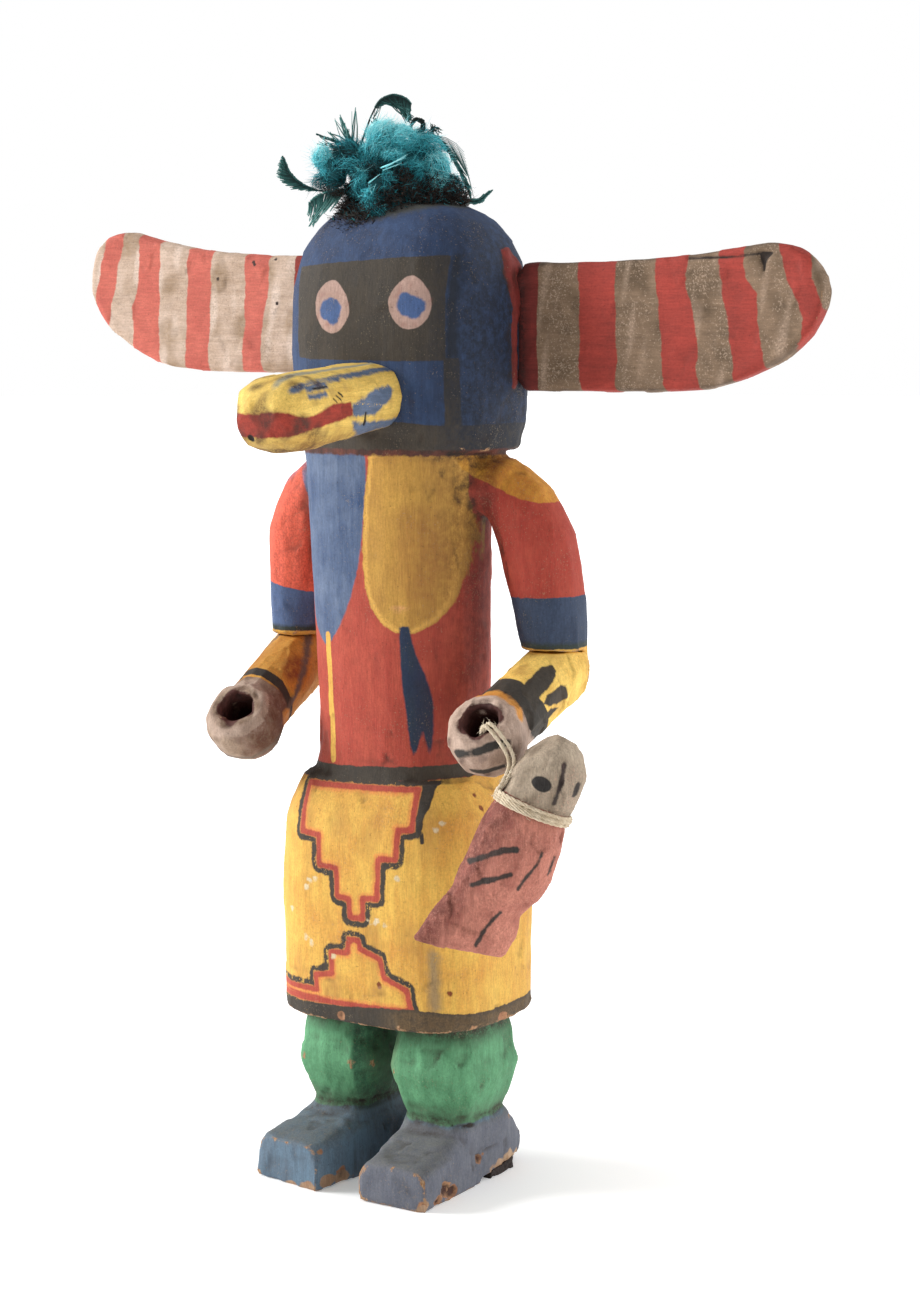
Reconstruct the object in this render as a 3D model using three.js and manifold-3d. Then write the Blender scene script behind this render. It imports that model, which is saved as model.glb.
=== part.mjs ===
// A carved and painted standing figure of cottonwood root, in millimetres.
// +Z is up, -Y is the figure's front and +X its left hand. The soles stand on z = 0.
// One block is carved from crown to soles. The forearms, ears and snout are glued on,
// a small carved fish hangs on a string from the left hand, and dyed feathers crown the head.
import * as THREE from 'three';
import { mergeVertices } from 'three/addons/utils/BufferGeometryUtils.js';
import Module from 'manifold-3d';

const wasm = await Module();
wasm.setup();

// ---- Driving dimensions ----

const GAP = 0.3; // what touching pieces keep between them

// Heights of the carved block.
const INSTEP = 20;
const HEM = 51.5;
const KILT_TOP = 125;
const BELT_TOP = 130;
const NECK = 225;
const DOME_START = 264;
const CROWN = 297.5;

// Half-widths (x), half-depths (y) and centres of the carved block's parts.
const HEAD = { width: 34, depth: 25.8, x: 1, y: -1 };
const TORSO = { width: 26.2, depth: 22.5 };
const KILT = { width: 36.4, depth: 29 };

// Legs and feet.
const LEG = { y: -1.5, depth: 19.5 };
const LEGS = {
  left: { x: 17, width: 15.2 },
  right: { x: -18.3, width: 13.7 },
};
const FEET = {
  left: { x: 15.8, heel: 24, length: 61, width: 24.5, toe: 12.8, turn: 1 },
  right: { x: -17.6, heel: 23, length: 59, width: 26, toe: 14.3, turn: -8 },
};
const CHIP = { x: 27, y: 10, length: 27, width: 12, height: 6 };

// Arms: where each elbow is, and how the forearm leaves it.
const ELBOWS = {
  left: new THREE.Vector3(48.3, 6, 159),
  right: new THREE.Vector3(-44.2, 4.5, 157.4),
};
const FISTS = {
  left: new THREE.Vector3(47, -31.6, 144.4),
  right: new THREE.Vector3(-42.5, -27.8, 141),
};
const NOTCH_TOP = { left: 165.5, right: 165 }; // where the forearm is let into the elbow
const NOTCH_BACK = 9; // how far behind the body's middle plane that joint runs
const FOREARM_RADIUS = 10;
const FIST = { radius: 11.8, top: 8, bottom: -11, hole: 5.6, holeDepth: 13, tilt: 48 };

// Ears: flat blades whose ends sweep up.
const EAR = { thickness: 7, root: 35.4, y: 7 };
const EARS = {
  left: { length: 97.5, half: 18.7, height: 260.9, rise: 4.4 },
  right: { length: 92.5, half: 18.1, height: 264.8, rise: 8 },
};

// Snout: a blunt, slightly drooping block glued to the face.
const SNOUT = { length: 55.5, width: 13, base: 9.6, tip: 11.5, x: 1.6, height: 241.2, droop: 5.8 };

// The hanging fish: the middle of its neck, and how it leans.
const FISH_NECK = new THREE.Vector3(64.9, -36.5, 126.2);
const FISH_NECK_WIDTH = 10.2;
const FISH_NECK_DEPTH = 9;
const FISH_TURN = 33; // degrees that its broad side is turned from the figure's front
const FISH_LEAN = 23; // degrees that its head leans sideways
const STRING_RADIUS = 1.15;

// The tuft on the crown spreads across a line turned this far from the figure's width.
const TUFT_TURN = 33;
const TUFT_ROOT = CROWN - 3.7;

const COLOURS = {
  red: 0xa8382e, yellow: 0xcf9a2e, cream: 0xa9998a, pink: 0xa65a55, twine: 0xcdbfa6,
  teal: 0x1f8a94, deepTeal: 0x12525a, pitch: 0x2b2624,
};

// ---- Tools ----

const radians = THREE.MathUtils.degToRad;
const lerp = THREE.MathUtils.lerp;
const side = { left: 1, right: -1 };

// A closed geometry as a manifold-3d solid.
function toSolid(geometry) {
  const bare = geometry.index ? geometry.toNonIndexed() : geometry.clone();
  bare.deleteAttribute('normal');
  bare.deleteAttribute('uv');
  const merged = mergeVertices(bare, 1e-3);
  const mesh = new wasm.Mesh({
    numProp: 3,
    vertProperties: merged.attributes.position.array,
    triVerts: new Uint32Array(merged.index.array),
  });
  mesh.merge();
  return new wasm.Manifold(mesh);
}

function toGeometry(solid) {
  const { vertProperties, triVerts } = solid.getMesh();
  const geometry = new THREE.BufferGeometry();
  geometry.setAttribute('position', new THREE.BufferAttribute(new Float32Array(vertProperties), 3));
  geometry.setIndex(new THREE.BufferAttribute(new Uint32Array(triVerts), 1));
  geometry.computeVertexNormals();
  return geometry;
}

const union = (solids) => solids.reduce((sum, next) => sum.add(next));

// The largest of the bodies that a solid falls into, which drops any sliver that a cut leaves.
const larger = (a, b) => (b.volume() > a.volume() ? b : a);
const largest = (solid) => solid.decompose().reduce(larger);

function moved(solid, matrix) {
  return solid.transform(matrix.elements);
}

// Moves every vertex of a geometry by a function of its position.
function reshape(geometry, move) {
  const position = geometry.attributes.position;
  const point = new THREE.Vector3();
  for (let i = 0; i < position.count; i++) {
    point.fromBufferAttribute(position, i);
    move(point);
    position.setXYZ(i, point.x, point.y, point.z);
  }
  return geometry;
}

// Rows of [height, half-width, half-depth, centre y, centre x] made smooth and sampled.
function smoothRows(keys, count) {
  const curve = (j) => new THREE.SplineCurve(
    keys.map((key, i) => new THREE.Vector2(i, key[j] ?? 0)),
  );
  const curves = [0, 1, 2, 3, 4].map(curve);
  return Array.from({ length: count }, (_, i) => curves.map((c) => c.getPoint(i / (count - 1)).y));
}

// A closed column whose rings follow the rows. A squareness of 2 gives ellipses, more gives blunt corners.
function column(rows, sides, squareness = 2) {
  const levels = rows.length - 1;
  const geometry = new THREE.CylinderGeometry(1, 1, 1, sides, levels);
  return reshape(geometry, (p) => {
    const [z, width, depth, cy = 0, cx = 0] = rows[Math.round((p.y + 0.5) * levels)];
    const reach = Math.hypot(p.x, p.z);
    const angle = Math.atan2(-p.z, p.x);
    const c = Math.cos(angle);
    const s = Math.sin(angle);
    const power = 2 / squareness;
    p.x = cx + reach * width * Math.sign(c) * Math.abs(c) ** power;
    p.y = cy + reach * depth * Math.sign(s) * Math.abs(s) ** power;
    p.z = z;
  });
}

// A closed limb along a curve. radii(t) gives its half-thickness across and along y.
function limb(path, radii, sides, levels) {
  const geometry = new THREE.CylinderGeometry(1, 1, 1, sides, levels);
  return reshape(geometry, (p) => {
    const t = 0.5 - p.y;
    const centre = path.getPoint(t);
    const along = path.getTangent(t);
    const front = new THREE.Vector3(0, 1, 0).addScaledVector(along, -along.y).normalize();
    const across = new THREE.Vector3().crossVectors(front, along);
    const [a, b] = radii(t);
    centre.addScaledVector(across, p.x * a).addScaledVector(front, p.z * b);
    p.copy(centre);
  });
}

const meshes = [];
function node(name, solid, colour, roughness = 0.85) {
  const material = new THREE.MeshStandardMaterial({ color: colour, roughness, metalness: 0 });
  const mesh = new THREE.Mesh(toGeometry(solid), material);
  mesh.name = name;
  meshes.push(mesh);
}

// ---- The carved block ----

// grow makes it larger all round, to clear room for what stands on it.
function headSolid(grow = 0) {
  const rows = [
    [NECK - 0.8, 0.93, 0.93], [NECK + 0.8, 0.965, 0.965], [NECK + 13, 0.985, 0.985], [NECK + 26, 1, 1],
    [DOME_START - 4, 1, 1],
  ].map(([z, w, d]) => [z, w * HEAD.width, d * HEAD.depth, HEAD.y, HEAD.x]);
  const flat = 0.3; // share of the crown that stays flat
  const steps = 7;
  for (let i = 1; i <= steps; i++) {
    const turn = radians(90 * i / steps);
    const z = DOME_START + (CROWN - DOME_START) * Math.sin(turn) ** 0.95;
    const share = flat + (1 - flat) * Math.cos(turn) ** 0.85;
    rows.push([z, share * HEAD.width, share * HEAD.depth, HEAD.y, HEAD.x]);
  }
  const grown = rows.map(([z, w, d, y, x]) => [z + grow, w + grow, d + grow, y, x]);
  return toSolid(column(grown, 32, 2.9));
}

function torsoSolid() {
  const rows = smoothRows([
    [KILT_TOP - 6, TORSO.width + 4, TORSO.depth + 3, -1, -0.5],
    [BELT_TOP - 3, TORSO.width + 1.6, TORSO.depth + 1.4, -1.2, -0.6],
    [BELT_TOP + 4, TORSO.width, TORSO.depth, -1.6, -0.7],
    [166, TORSO.width + 0.7, TORSO.depth + 0.4, -2.4, -0.8],
    [200, TORSO.width + 1.8, TORSO.depth + 0.3, -4, -1],
    [NECK + 4, TORSO.width + 3.4, TORSO.depth, -4.5, -1],
  ], 9);
  return toSolid(column(rows, 24, 2.3));
}

function kiltSolid() {
  const rows = [
    [HEM, 0.98, 0.98], [HEM + 2, 1, 1], [HEM + 20, 1, 1], [HEM + 42, 1.01, 1.01],
    [KILT_TOP - 16, 0.99, 0.99], [KILT_TOP - 9, 0.95, 0.95], [KILT_TOP - 3, 0.88, 0.88],
    [KILT_TOP + 1, 0.8, 0.83],
  ].map(([z, w, d]) => [z, w * KILT.width, d * KILT.depth, -0.8, -0.6]);
  return toSolid(column(rows, 28, 3.2));
}

function legSolid(which) {
  const rows = [
    [INSTEP - 8, 0.8, 0.8], [INSTEP + 1, 0.84, 0.82], [INSTEP + 8, 0.96, 0.94],
    [INSTEP + 15, 1, 1], [HEM - 4, 0.94, 0.95], [HEM + 8, 0.8, 0.85],
  ].map(([z, w, d]) => [z, w * LEGS[which].width, d * LEG.depth, LEG.y, LEGS[which].x]);
  return toSolid(column(rows, 12, 3.4));
}

// A foot from its rounded heel to its blunt toe. The top climbs from the toe to the ankle.
function footSolid(which) {
  const { x, heel, length, width, toe, turn } = FEET[which];
  const rows = [
    [0, 0.5, 7], [1.2, 0.7, 10], [4, 0.87, 13], [9, 0.96, INSTEP - 2.5], [16, 1, INSTEP - 0.5],
    [length * 0.58, 1, INSTEP], [length * 0.8, 1, toe + 2.2], [length - 2.5, 1, toe],
    [length - 0.8, 0.99, toe - 0.4], [length, 0.95, toe - 1.3],
  ].map(([along, w, top]) => [along, w * width / 2, top]);
  const geometry = column(rows, 28, 5.5);
  geometry.rotateX(Math.PI / 2);
  geometry.translate(0, heel, 0);
  const place = new THREE.Matrix4().makeRotationZ(radians(turn)).setPosition(x, 0, 0);
  const foot = moved(toSolid(geometry), place).trimByPlane([0, 0, 1], 0);
  return which === 'left' ? foot.subtract(chipSolid()) : foot;
}

// What has broken off the left foot: a long chip under the outer heel.
function chipSolid() {
  const { x, y, length, width, height } = CHIP;
  const geometry = new THREE.BoxGeometry(width, length, 2 * height);
  reshape(geometry, (p) => {
    if (p.z > 0 && p.y < 0) p.z *= 0.25;
    if (p.z > 0 && p.x < 0) p.z *= 0.6;
  });
  geometry.translate(x, y, 0);
  return toSolid(geometry);
}

// The dark wedge that fills part of the chip and takes the heel's weight.
function wedgeSolid() {
  const { x, y, length, width, height } = CHIP;
  const geometry = new THREE.BoxGeometry(width * 0.42, length * 0.5, height * 0.62);
  reshape(geometry, (p) => {
    if (p.z > 0 && p.y < 0) p.z *= 0.1;
    if (p.z > 0 && p.x < 0) p.z *= 0.75;
  });
  geometry.translate(x - 1.2, y - length * 0.07, height * 0.31);
  return toSolid(geometry).subtract(footSolid('left'));
}

// Shoulder, upper arm and elbow in one sweep.
function upperArmSolid(which) {
  const s = side[which];
  const elbow = ELBOWS[which];
  const out = Math.abs(elbow.x);
  const path = new THREE.CatmullRomCurve3([
    new THREE.Vector3(s * 13, -2, 218), new THREE.Vector3(s * (out - 13.2), -0.5, 212.5),
    new THREE.Vector3(s * (out - 5.6), 1.5, 201), new THREE.Vector3(s * (out - 2.9), 3.5, 187),
    new THREE.Vector3(s * (out - 0.8), 5, 171), elbow,
  ]);
  const radii = (t) => {
    const swell = Math.min(1, t * 2.4);
    const thin = Math.max(0, (t - 0.6) / 0.4);
    return [8 + 3.6 * swell - 2.9 * thin, 9 + 3 * swell - 2.2 * thin];
  };
  return toSolid(limb(path, radii, 14, 11));
}

// ---- Forearms and fists ----

// The forearm's rounded start, its shaft, and the fist with the hole for what it once held.
function forearmBlank(which) {
  const elbow = ELBOWS[which];
  const fist = FISTS[which];
  const path = new THREE.LineCurve3(elbow, fist);
  const thick = FOREARM_RADIUS + 0.3;
  const thin = FOREARM_RADIUS - 0.3;
  const radius = (t) => lerp(thick, thin, t);
  const shaft = limb(path, (t) => [radius(t), radius(t)], 16, 3);
  const heel = new THREE.SphereGeometry(thick, 16, 8);
  heel.translate(elbow.x, elbow.y, elbow.z);
  return toSolid(shaft).add(toSolid(heel));
}

function fistPlace(which) {
  const tilt = radians(FIST.tilt);
  const up = new THREE.Vector3(0.13, -Math.sin(tilt), Math.cos(tilt)).normalize();
  const across = new THREE.Vector3(1, 0, 0).addScaledVector(up, -up.x).normalize();
  const front = new THREE.Vector3().crossVectors(across, up);
  return new THREE.Matrix4().makeBasis(across, up, front).setPosition(FISTS[which]);
}

function fistKnob() {
  const { radius: r, top, bottom } = FIST;
  const points = [[0, bottom], [r * 0.35, bottom]];
  for (let i = 1; i < 8; i++) {
    const z = bottom + (top - bottom) * i / 8;
    points.push([Math.sqrt(Math.max(0, 1 - (z / (r + 0.8)) ** 2)) * r, z]);
  }
  points.push([r * 0.72, top], [0, top]);
  return toSolid(new THREE.LatheGeometry(points.map(([a, b]) => new THREE.Vector2(a, b)), 16));
}

function forearmSolid(which) {
  const { top, hole, holeDepth } = FIST;
  const bore = new THREE.CylinderGeometry(hole, hole * 0.9, holeDepth + 6, 16);
  bore.translate(0, top - holeDepth + (holeDepth + 6) / 2, 0);
  const place = fistPlace(which);
  const face = new THREE.CylinderGeometry(30, 30, 20, 8).translate(0, top + 10, 0);
  const whole = forearmBlank(which).add(moved(fistKnob(), place));
  return whole
    .subtract(moved(toSolid(face), place).intersect(forearmFront(which)))
    .subtract(moved(toSolid(bore), place))
    .intersect(elbowNotch(which, -GAP / 2));
}

// The room in front of the wrist, where the fist's flat face is cut.
function forearmFront(which) {
  const box = new THREE.BoxGeometry(40, 60, 60);
  box.translate(FISTS[which].x, FISTS[which].y + 2 - 30, FISTS[which].z);
  return toSolid(box);
}

// The room in front of and below the elbow joint. grow widens it to leave the glue gap.
function elbowNotch(which, grow) {
  const top = NOTCH_TOP[which] + grow;
  const back = NOTCH_BACK + grow;
  const box = new THREE.BoxGeometry(60, 80, 60);
  box.translate(ELBOWS[which].x, back - 40, top - 30);
  return toSolid(box);
}

// ---- Ears ----

function earSolid(which) {
  const { length, half, height, rise } = EARS[which];
  const { thickness, root, y } = EAR;
  const bevel = 1.6;
  const neck = half - 2.2; // the short neck let into the head's side
  const blade = new THREE.Shape();
  blade.moveTo(-5, neck);
  blade.lineTo(0, neck);
  blade.lineTo(1.2, half);
  blade.bezierCurveTo(
    length * 0.35, half - 0.6, length * 0.6, half + rise * 0.3, length * 0.8, half + rise,
  );
  blade.bezierCurveTo(
    length * 0.93, half + rise * 1.3, length * 0.995, half * 0.72 + rise * 0.8,
    length, half * 0.38 + rise * 0.6,
  );
  blade.bezierCurveTo(
    length, -half * 0.28 + rise * 0.5, length * 0.86, -half * 0.66, length * 0.64, -half * 0.93,
  );
  blade.bezierCurveTo(length * 0.47, -half * 1.03, length * 0.2, -half, 1.2, -half);
  blade.lineTo(0, -neck);
  blade.lineTo(-5, -neck);
  const geometry = new THREE.ExtrudeGeometry(blade, {
    depth: thickness - 2 * bevel, bevelThickness: bevel, bevelSize: bevel, bevelOffset: -bevel,
    bevelSegments: 2, curveSegments: 9,
  });
  geometry.translate(root, 0, bevel - thickness / 2);
  geometry.rotateX(Math.PI / 2);
  const slab = toSolid(geometry);
  const turned = which === 'left' ? slab : slab.mirror([1, 0, 0]);
  return turned.translate([HEAD.x / 2, y, height]).subtract(headSolid(GAP));
}

// ---- Snout ----

function snoutSolid() {
  const { length, width, base, tip, x, height, droop } = SNOUT;
  const rows = [
    [0, 0.93, 0.93], [4, 1, 1], [length * 0.5, 1, 1], [length * 0.8, 0.98, 0.99],
    [length * 0.92, 0.88, 0.87], [length * 0.98, 0.68, 0.64], [length, 0.45, 0.4],
  ].map(([z, w, d]) => [z, w * width, d * lerp(base, tip, z / length)]);
  const geometry = column(rows, 20, 2.8);
  geometry.rotateX(Math.PI / 2);
  geometry.rotateX(radians(droop));
  geometry.translate(x, HEAD.y - HEAD.depth + 3.5, height);
  return toSolid(geometry);
}

// ---- The fish and its string ----

const fishFrame = new THREE.Matrix4()
  .makeRotationZ(radians(FISH_TURN))
  .multiply(new THREE.Matrix4().makeRotationY(radians(FISH_LEAN)))
  .setPosition(FISH_NECK);

function fishSolid(grow = 0) {
  const rows = [
    [-46, 13, 2.6, 0, -3.4], [-45, 13.6, 3.4, 0, -3.4], [-37, 12.6, 4.6, 0, -1.8], [-30, 10.4, 7, 0, -1.6],
    [-24, 12.1, 9.2, 0, -0.3], [-17, 13, 10.4, 0, 0.6], [-9, 12.6, 10.4, 0, 0.2], [-3.4, 11, 9.6],
    [-1.9, FISH_NECK_WIDTH, FISH_NECK_DEPTH], [1.9, FISH_NECK_WIDTH, FISH_NECK_DEPTH],
    [3.4, 10.5, 9.6, 0, 0.2], [8, 10.7, 10, 0, 0.6], [14, 9.1, 9, 0, 1.1], [19, 6, 6.4, 0, 1],
    [21.5, 3, 3, 0, 0.8],
  ].map(([z, w, d, y, x]) => [z, w + grow, d + grow, y, x]);
  const geometry = column(rows, 18, 1.9);
  reshape(geometry, (p) => {
    if (p.z < -40) p.z += 0.2 * (p.x + 3);
  });
  return moved(toSolid(geometry), fishFrame);
}

// The turns round the neck as one band, and the doubled strand that rises to the fist.
function stringSolid() {
  const outer = 1.7;
  const band = new THREE.LatheGeometry([
    [GAP, -1.5], [outer * 0.7, -2], [outer, -1.2], [outer, 1.2], [outer * 0.7, 2], [GAP, 1.5], [GAP, -1.5],
  ].map(([r, z]) => new THREE.Vector2(1 + r, z)), 20).rotateX(Math.PI / 2);
  reshape(band, (p) => {
    const grow = Math.hypot(p.x, p.y) - 1;
    const angle = Math.atan2(p.y, p.x);
    p.x = (FISH_NECK_WIDTH + grow) * Math.cos(angle);
    p.y = (FISH_NECK_DEPTH + grow) * Math.sin(angle);
  });
  // Points by how far they lie sideways, up and outwards from the fist's middle.
  const turn = radians(FISH_TURN);
  const near = (across, up, out) => new THREE.Vector3(
    across * Math.cos(turn) + out * Math.sin(turn), across * Math.sin(turn) - out * Math.cos(turn), up,
  ).add(FISTS.left);
  const path = new THREE.CatmullRomCurve3([
    near(-1.2, -2.4, 0.5), near(-1.6, 3.4, 9.2), near(0, 4.8, 12.8), near(4.6, -1, 13.6),
    near(6.2, -5.6, 14.6), near(4.6, -9.8, 16), near(2.6, -13, 15.4), near(1.9, -15.6, 13.8),
  ]);
  const strand = toSolid(limb(path, () => [STRING_RADIUS, STRING_RADIUS], 7, 24));
  return strand.subtract(fishSolid(GAP)).add(moved(toSolid(band), fishFrame));
}

// ---- Feathers ----

// Places above the crown by how far they lie across, outwards and up, in the tuft's own turned frame.
function overCrown(across, out, up) {
  const turn = radians(TUFT_TURN);
  return new THREE.Vector3(
    across * Math.cos(turn) + out * Math.sin(turn), across * Math.sin(turn) - out * Math.cos(turn),
    TUFT_ROOT + up,
  );
}

// The down: lumpy puffs of [across, out, up, half-width, half-depth, half-height], all in one mass.
const PUFFS = [
  [-26, 2, 13.5, 5, 6, 6], [-18.5, -2, 17.5, 7, 7, 5.5], [-7, 1, 21, 7.5, 7.5, 6.5],
  [5.2, 1, 14.5, 8.5, 9, 9], [-10.5, 12, 5, 5, 4.5, 6.5], [13, 0, 6.5, 5.5, 8, 5],
  [-3, -10, 12, 12, 7, 8], [-5, 0, 8, 17, 12, 9],
];

function downSolid(grow) {
  const puffs = PUFFS.map(([across, out, up, w, d, h]) => {
    const centre = overCrown(across, out, up);
    const geometry = reshape(new THREE.IcosahedronGeometry(1, 1), (p) => {
      const lump = 1 + 0.07 * Math.sin(5 * p.x + 2 * p.z + across) * Math.cos(4 * p.y - p.z + up);
      p.set(p.x * (w * lump + grow), p.y * (d * lump + grow), p.z * (h * lump + grow));
    });
    geometry.rotateZ(radians(TUFT_TURN));
    return toSolid(geometry.translate(centre.x, centre.y, centre.z));
  });
  const base = new THREE.CylinderGeometry(15, 19.5, 8, 16);
  base.rotateX(Math.PI / 2);
  base.translate(-2, -1, CROWN - 0.2);
  return union([...puffs, toSolid(base)]);
}

// A feather blade along a curve: flat, widest before the middle and pointed at its tip.
function bladeSolid(points, width) {
  const path = new THREE.CatmullRomCurve3(points.map((p) => overCrown(...p)));
  const radii = (t) => {
    const w = Math.max(0.35, width * Math.sin(Math.PI * Math.min(1, 0.12 + t * 0.88)) ** 0.8);
    return [w, 0.45];
  };
  return toSolid(limb(path, radii, 6, 8));
}

// The feathers that can be told apart, each as its quill's points and its half-width.
const FEATHERS = {
  feather_top: { width: 3, points: [[-12, 1, 15], [-11, 1, 24], [-8, 1, 31], [-3, 1, 33.5], [1, 1, 30.5]] },
  feather_left: {
    width: 2.2, points: [[-17, 2, 8], [-25, 2, 6.5], [-31, 2, 9], [-35.5, 2, 12.5], [-37.5, 2, 17.5]],
  },
  feather_left_low: { width: 3.2, points: [[-16, 4, 8], [-22, 5, 7], [-27.5, 5, 4.5], [-31.5, 5, 0.5]] },
  feather_spike: { width: 1.6, points: [[-14, -2, 17], [-19, -2, 22.5], [-21, -2, 29]] },
  feather_fan: { width: 1.8, points: [[-15, 1, 18], [-22, 1, 21], [-28.5, 1, 23]] },
  feather_droop: {
    width: 2, points: [[3, -3, 20], [8, -3, 24.5], [14, -3, 18.5], [18, -3, 10], [19, -3, 5]],
  },
  feather_right: { width: 1.8, points: [[11, 0, 6], [16, 0, 4.6], [20.5, 0, 4.5], [25, 0, 7.5]] },
  feather_knob: { width: 2, points: [[1, 3, 19], [2, 3, 25], [5, 3, 28], [8, 3, 25.5]] },
};

// A blade with the room of the down and of the blades before it taken out, as one body.
function featherSolid(points, width, room) {
  return largest(bladeSolid(points, width).subtract(room));
}

// ---- Assembly ----

// The arm as far as the elbow's rounded heel, without the room that the forearm takes.
const arm = (which) => upperArmSolid(which).add(forearmBlank(which)).subtract(elbowNotch(which, GAP / 2));
const body = largest(union([
  torsoSolid(), headSolid(), kiltSolid(), arm('left'), arm('right'), legSolid('left'), legSolid('right'),
  footSolid('left'), footSolid('right'),
]));

node('body', body, COLOURS.red);
node('forearm_left', forearmSolid('left'), COLOURS.yellow);
node('forearm_right', forearmSolid('right'), COLOURS.yellow);
node('ear_left', earSolid('left'), COLOURS.cream);
node('ear_right', earSolid('right'), COLOURS.cream);
node('snout', snoutSolid().subtract(headSolid()), COLOURS.yellow);
node('fish', fishSolid(), COLOURS.pink);
node('string', stringSolid(), COLOURS.twine);
node('heel_wedge', wedgeSolid(), COLOURS.pitch);
node('down', downSolid(0).subtract(headSolid(GAP)), COLOURS.teal);
const room = downSolid(GAP);
for (const [name, { points, width }] of Object.entries(FEATHERS)) {
  node(name, featherSolid(points, width, room), COLOURS.deepTeal);
}

// The part's origin is the middle of its bounding box's underside.
const figure = new THREE.Group();
meshes.forEach((mesh) => figure.add(mesh));
const middle = new THREE.Box3().setFromObject(figure).getCenter(new THREE.Vector3());
figure.position.set(-middle.x, -middle.y, 0);

export default figure;
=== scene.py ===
# %% [markdown]
# # A carved kachina doll
# The doll is cut from one block of cottonwood root and painted with matt mineral paints. Its
# forearms, ears and snout are glued on, a small wooden fish hangs from the left hand on a
# cotton string, and a tuft of dyed down and hackles stands on its crown. This file dresses the
# plain solids of the frame: it rounds them as a knife and sandpaper would, lays out the
# painted areas, and builds the string and the feathers strand by strand.

# %% Open the frame
import math

import bmesh
import bpy
import numpy as np
from mathutils import Matrix, Vector, kdtree


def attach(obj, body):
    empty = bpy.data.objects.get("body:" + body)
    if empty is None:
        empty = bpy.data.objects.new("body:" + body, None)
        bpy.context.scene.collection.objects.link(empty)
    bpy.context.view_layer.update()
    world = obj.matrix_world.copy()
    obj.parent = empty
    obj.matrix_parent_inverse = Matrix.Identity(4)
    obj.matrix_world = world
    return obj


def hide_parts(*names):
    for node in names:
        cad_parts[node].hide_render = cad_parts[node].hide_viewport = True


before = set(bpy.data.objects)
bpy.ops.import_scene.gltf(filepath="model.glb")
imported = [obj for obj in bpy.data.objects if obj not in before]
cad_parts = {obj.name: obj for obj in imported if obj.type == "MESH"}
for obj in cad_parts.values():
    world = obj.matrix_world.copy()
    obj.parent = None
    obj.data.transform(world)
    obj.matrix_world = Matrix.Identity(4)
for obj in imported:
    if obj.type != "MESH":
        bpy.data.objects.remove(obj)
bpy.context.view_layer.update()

MM = 0.001
AXIS = np.array([-3.0, 25.245, 0.0])  # the figure's own upright axis in the frame, in mm

# %% [markdown]
# ## The camera
# A doll like this is looked at from its own left front, at about the height of its face. The
# camera stands on a circle round the figure's axis, and a short telephoto lens keeps the head
# and the feet in proportion.

# %% Place the camera
CAMERA_TURN = math.radians(33)  # round from the figure's front towards its left hand
CAMERA_DISTANCE = 790
CAMERA_HEIGHT = 261.3
CAMERA_PITCH = math.radians(7.2)
CAMERA_YAW = math.radians(1.1)

camera = bpy.data.objects.new("camera", bpy.data.cameras.new("camera"))
camera.data.lens = 71.6
camera.data.clip_end = 60
camera.location = Vector((
    AXIS[0] + CAMERA_DISTANCE * math.sin(CAMERA_TURN),
    AXIS[1] - CAMERA_DISTANCE * math.cos(CAMERA_TURN),
    CAMERA_HEIGHT,
)) * MM
camera.rotation_euler = (math.pi / 2 - CAMERA_PITCH, 0, CAMERA_TURN - CAMERA_YAW)
bpy.context.scene.collection.objects.link(camera)
bpy.context.scene.camera = camera
bpy.context.scene.view_settings.view_transform = "Standard"
print("camera at", tuple(round(v, 3) for v in camera.location))

# %% [markdown]
# ## Nodes in short
# Every finish here is a tree of nodes. A few helpers keep the trees readable: one adds a node
# and fills its sockets in order, others do a sum, make a slope, mix two colours or read a
# field. Colours are written as the eye sees them, from 0 to 255, and turned into the linear
# values that a shader wants.

# %% Node helpers
def tone(red, green, blue):
    """A colour from 0 to 255, as linear values with an opaque alpha."""
    def linear(value):
        value /= 255
        return value / 12.92 if value <= 0.04045 else ((value + 0.055) / 1.055) ** 2.4
    return (linear(red), linear(green), linear(blue), 1.0)


def grey(level):
    """A grey from 0 to 1 as a linear value, with an opaque alpha."""
    return (level, level, level, 1)


def fill(tree, socket, value):
    if isinstance(value, bpy.types.NodeSocket):
        tree.links.new(value, socket)
    elif value is not None:
        socket.default_value = value


def node(tree, kind, inputs=(), **settings):
    """Adds a node, sets its options, fills its inputs in order and gives its first output."""
    made = tree.nodes.new(kind)
    for key, value in settings.items():
        setattr(made, key, value)
    for socket, value in zip(made.inputs, inputs):
        fill(tree, socket, value)
    return made.outputs[0] if made.outputs else None


def calc(tree, operation, *values):
    return node(tree, "ShaderNodeMath", values, operation=operation)


def ramp(tree, value, low, high):
    """0 below low, 1 above high and a straight slope between."""
    return node(tree, "ShaderNodeMapRange", (value, low, high, 0.0, 1.0))


def mix(tree, factor, first, second, blend_type="MIX"):
    made = tree.nodes.new("ShaderNodeMix")
    made.data_type = "RGBA"
    made.blend_type = blend_type
    fill(tree, made.inputs["Factor"], factor)
    fill(tree, made.inputs[6], first)
    fill(tree, made.inputs[7], second)
    return made.outputs[2]


def attribute(tree, name):
    made = tree.nodes.new("ShaderNodeAttribute")
    made.attribute_name = name
    return made.outputs["Fac"]


print("a middle tone as a linear value", round(tone(128, 128, 128)[0], 3))

# %% [markdown]
# ## Floor and light
# A white studio: a pale floor, and a surround that is bright above and behind the figure and
# dim on the side of the viewer, as a real room behind the camera is. A white screen on the
# figure's left lights the sides that face away, and one wide soft light on its right gives the
# carving its shading.

# %% The floor
FLOOR_RADIUS = 9  # m
FLOOR_WHITE = 0.93
FEET = AXIS * MM + np.array([0, -0.015, 0])


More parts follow.
